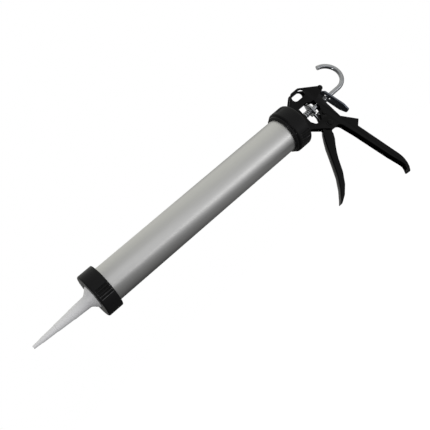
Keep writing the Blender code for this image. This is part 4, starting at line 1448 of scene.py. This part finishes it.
@dataclass
class Studio:
    """Pale floor, soft lights and the camera."""

    camera_place: Triple = (0.55259, 0.91600, -0.00887)
    looks_along: Triple = (-0.29841, -0.95081, 0.08318)
    image_up: Triple = (-0.62487, 0.26051, 0.73599)
    lens: float = 58.06
    sensor: float = 36.0
    floor_reach: float = 6.0
    floor_gap: float = 0.5 * MM        # between the gun and the floor
    floor_colour: Colour = (0.85, 0.85, 0.85)
    floor_roughness: float = 0.9
    floor_glow: float = 1.08
    floor_share: float = 0.95          # of the floor's tone that is its own glow
    lamps: tuple[Lamp, ...] = (
        Lamp("front_strip", (-0.298, 0.80, -0.52), 1.3, 1.6, 0.02, 1.1),
        Lamp("front_spot", (0.95, 0.30, 0.08), 2.0, 0.25, 0.5, 5.0),
    )
    room: tuple[tuple[float, Colour], ...] = (
        (-180.0, (0.06, 0.06, 0.06)), (-140.0, (0.16, 0.16, 0.16)),
        (-110.0, (0.24, 0.24, 0.24)),
        (-88.0, (0.25, 0.25, 0.25)), (-68.0, (0.44, 0.44, 0.45)),
        (-48.0, (0.98, 0.98, 0.99)), (-24.0, (0.92, 0.92, 0.93)),
        (-4.0, (0.66, 0.66, 0.66)), (20.0, (0.62, 0.62, 0.61)),
        (45.0, (0.75, 0.75, 0.715)), (75.0, (0.82, 0.82, 0.775)),
        (115.0, (0.82, 0.82, 0.785)), (138.0, (0.50, 0.50, 0.48)),
        (165.0, (0.10, 0.10, 0.10)))
    near_end: float = -0.16            # X of a direction that meets the front end
    far_end: float = -0.32
    end_turn: float = 38.0             # degrees that the room turns by at the front end
    front_start: float = 0.05          # X of a direction where the room starts to darken
    front_end: float = 0.75
    front_tone: float = 0.22

    def build(self) -> None:
        """Set up the camera, lights, world and floor."""
        self.set_camera()
        low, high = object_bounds()
        target = (Vector(low) + Vector(high)) / 2
        for lamp in self.lamps:
            lamp.place(target)
        self.light_world()
        self.lay_floor(low.z)
        bpy.context.scene.view_settings.view_transform = "Standard"

    def set_camera(self) -> None:
        """Hold the camera at its place and turn."""
        data = bpy.data.cameras.new("camera")
        data.lens = self.lens
        data.sensor_width = self.sensor
        camera = bpy.data.objects.new("camera", data)
        back = -Vector(self.looks_along).normalized()
        right = Vector(self.image_up).cross(back).normalized()
        up = back.cross(right)
        turn = Matrix((right, up, back)).transposed()
        camera.matrix_world = Matrix.Translation(self.camera_place) @ turn.to_4x4()
        bpy.context.scene.collection.objects.link(camera)
        bpy.context.scene.camera = camera

    def light_world(self) -> None:
        """White to the camera; to the gun, a soft room that is brighter above."""
        world = bpy.data.worlds.new("studio")
        world.use_nodes = True
        tree = world.node_tree
        shown = tree.nodes["Background"]
        shown.inputs["Color"].default_value = (1.0, 1.0, 1.0, 1.0)
        place = add_node(tree, "ShaderNodeTexCoord")
        split = add_node(tree, "ShaderNodeSeparateXYZ",
                         {"Vector": place.outputs["Generated"]}).outputs
        angle = combine(tree, "ARCTAN2", split["Z"], split["Y"])
        lean = add_node(tree, "ShaderNodeMapRange", {
            "Value": split["X"], "From Min": self.far_end, "From Max": self.near_end,
            "To Max": math.radians(self.end_turn)}, interpolation_type="SMOOTHSTEP")
        share = fade(tree, combine(tree, "SUBTRACT", angle, lean.outputs["Result"]),
                     (-math.pi, math.pi))
        ramp = add_node(tree, "ShaderNodeValToRGB", {"Fac": share})
        ramp.color_ramp.interpolation = "EASE"
        stops = ramp.color_ramp.elements
        for index, (degrees, tone) in enumerate(self.room):
            stop = stops[0] if index == 0 else stops.new(degrees / 360 + 0.5)
            stop.color = (*tone, 1.0)
        stops[-1].color = (*self.room[0][1], 1.0)
        fall = add_node(tree, "ShaderNodeMapRange", {
            "Value": split["X"], "From Min": self.front_start, "From Max": self.front_end,
            "To Min": 1.0, "To Max": self.front_tone})
        room = add_node(tree, "ShaderNodeBackground", {
            "Color": ramp.outputs["Color"], "Strength": fall.outputs["Result"]})
        path = add_node(tree, "ShaderNodeLightPath")
        mix = add_node(tree, "ShaderNodeMixShader", {
            "Fac": path.outputs["Is Camera Ray"], 1: room.outputs["Background"],
            2: shown.outputs["Background"]})
        tree.links.new(mix.outputs["Shader"], tree.nodes["World Output"].inputs["Surface"])
        bpy.context.scene.world = world

    def lay_floor(self, height: float) -> None:
        """A wide pale floor under the gun that lights and reflections pass by.

        Args:
            height: Z of the gun's lowest point.
        """
        bm = bmesh.new()
        bmesh.ops.create_grid(bm, x_segments=1, y_segments=1, size=self.floor_reach)
        bmesh.ops.translate(bm, verts=bm.verts, vec=(0.0, 0.0, height - self.floor_gap))
        floor = as_object("studio_floor", bm)
        material = bpy.data.materials.new("pale_floor")
        material.use_nodes = True
        tree = material.node_tree
        shader = tree.nodes["Principled BSDF"]
        shader.inputs["Base Color"].default_value = (*self.floor_colour, 1.0)
        shader.inputs["Roughness"].default_value = self.floor_roughness
        glow = add_node(tree, "ShaderNodeEmission", {"Strength": self.floor_glow})
        mix = add_node(tree, "ShaderNodeMixShader", {
            "Fac": self.floor_share, 1: shader.outputs["BSDF"],
            2: glow.outputs["Emission"]})
        tree.links.new(mix.outputs["Shader"], tree.nodes["Material Output"].inputs["Surface"])
        floor.data.materials.append(material)
        for sight in ("diffuse", "glossy", "shadow", "transmission"):
            setattr(floor, "visible_" + sight, False)
        floor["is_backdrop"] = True


def main() -> None:
    """Build the gun's pieces in order."""
    logging.basicConfig(level=logging.INFO, format="%(name)s: %(message)s")
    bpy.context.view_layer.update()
    Studio().build()
    shop = Workshop(Effects.build())
    for assembly in (Barrel(), Caps(), Nozzle(), JointStack(), Frame(), Trigger(), Drive(),
                     Rod(), Piston(), Catch()):
        assembly.build(shop)


if __name__ == "__main__":
    main()
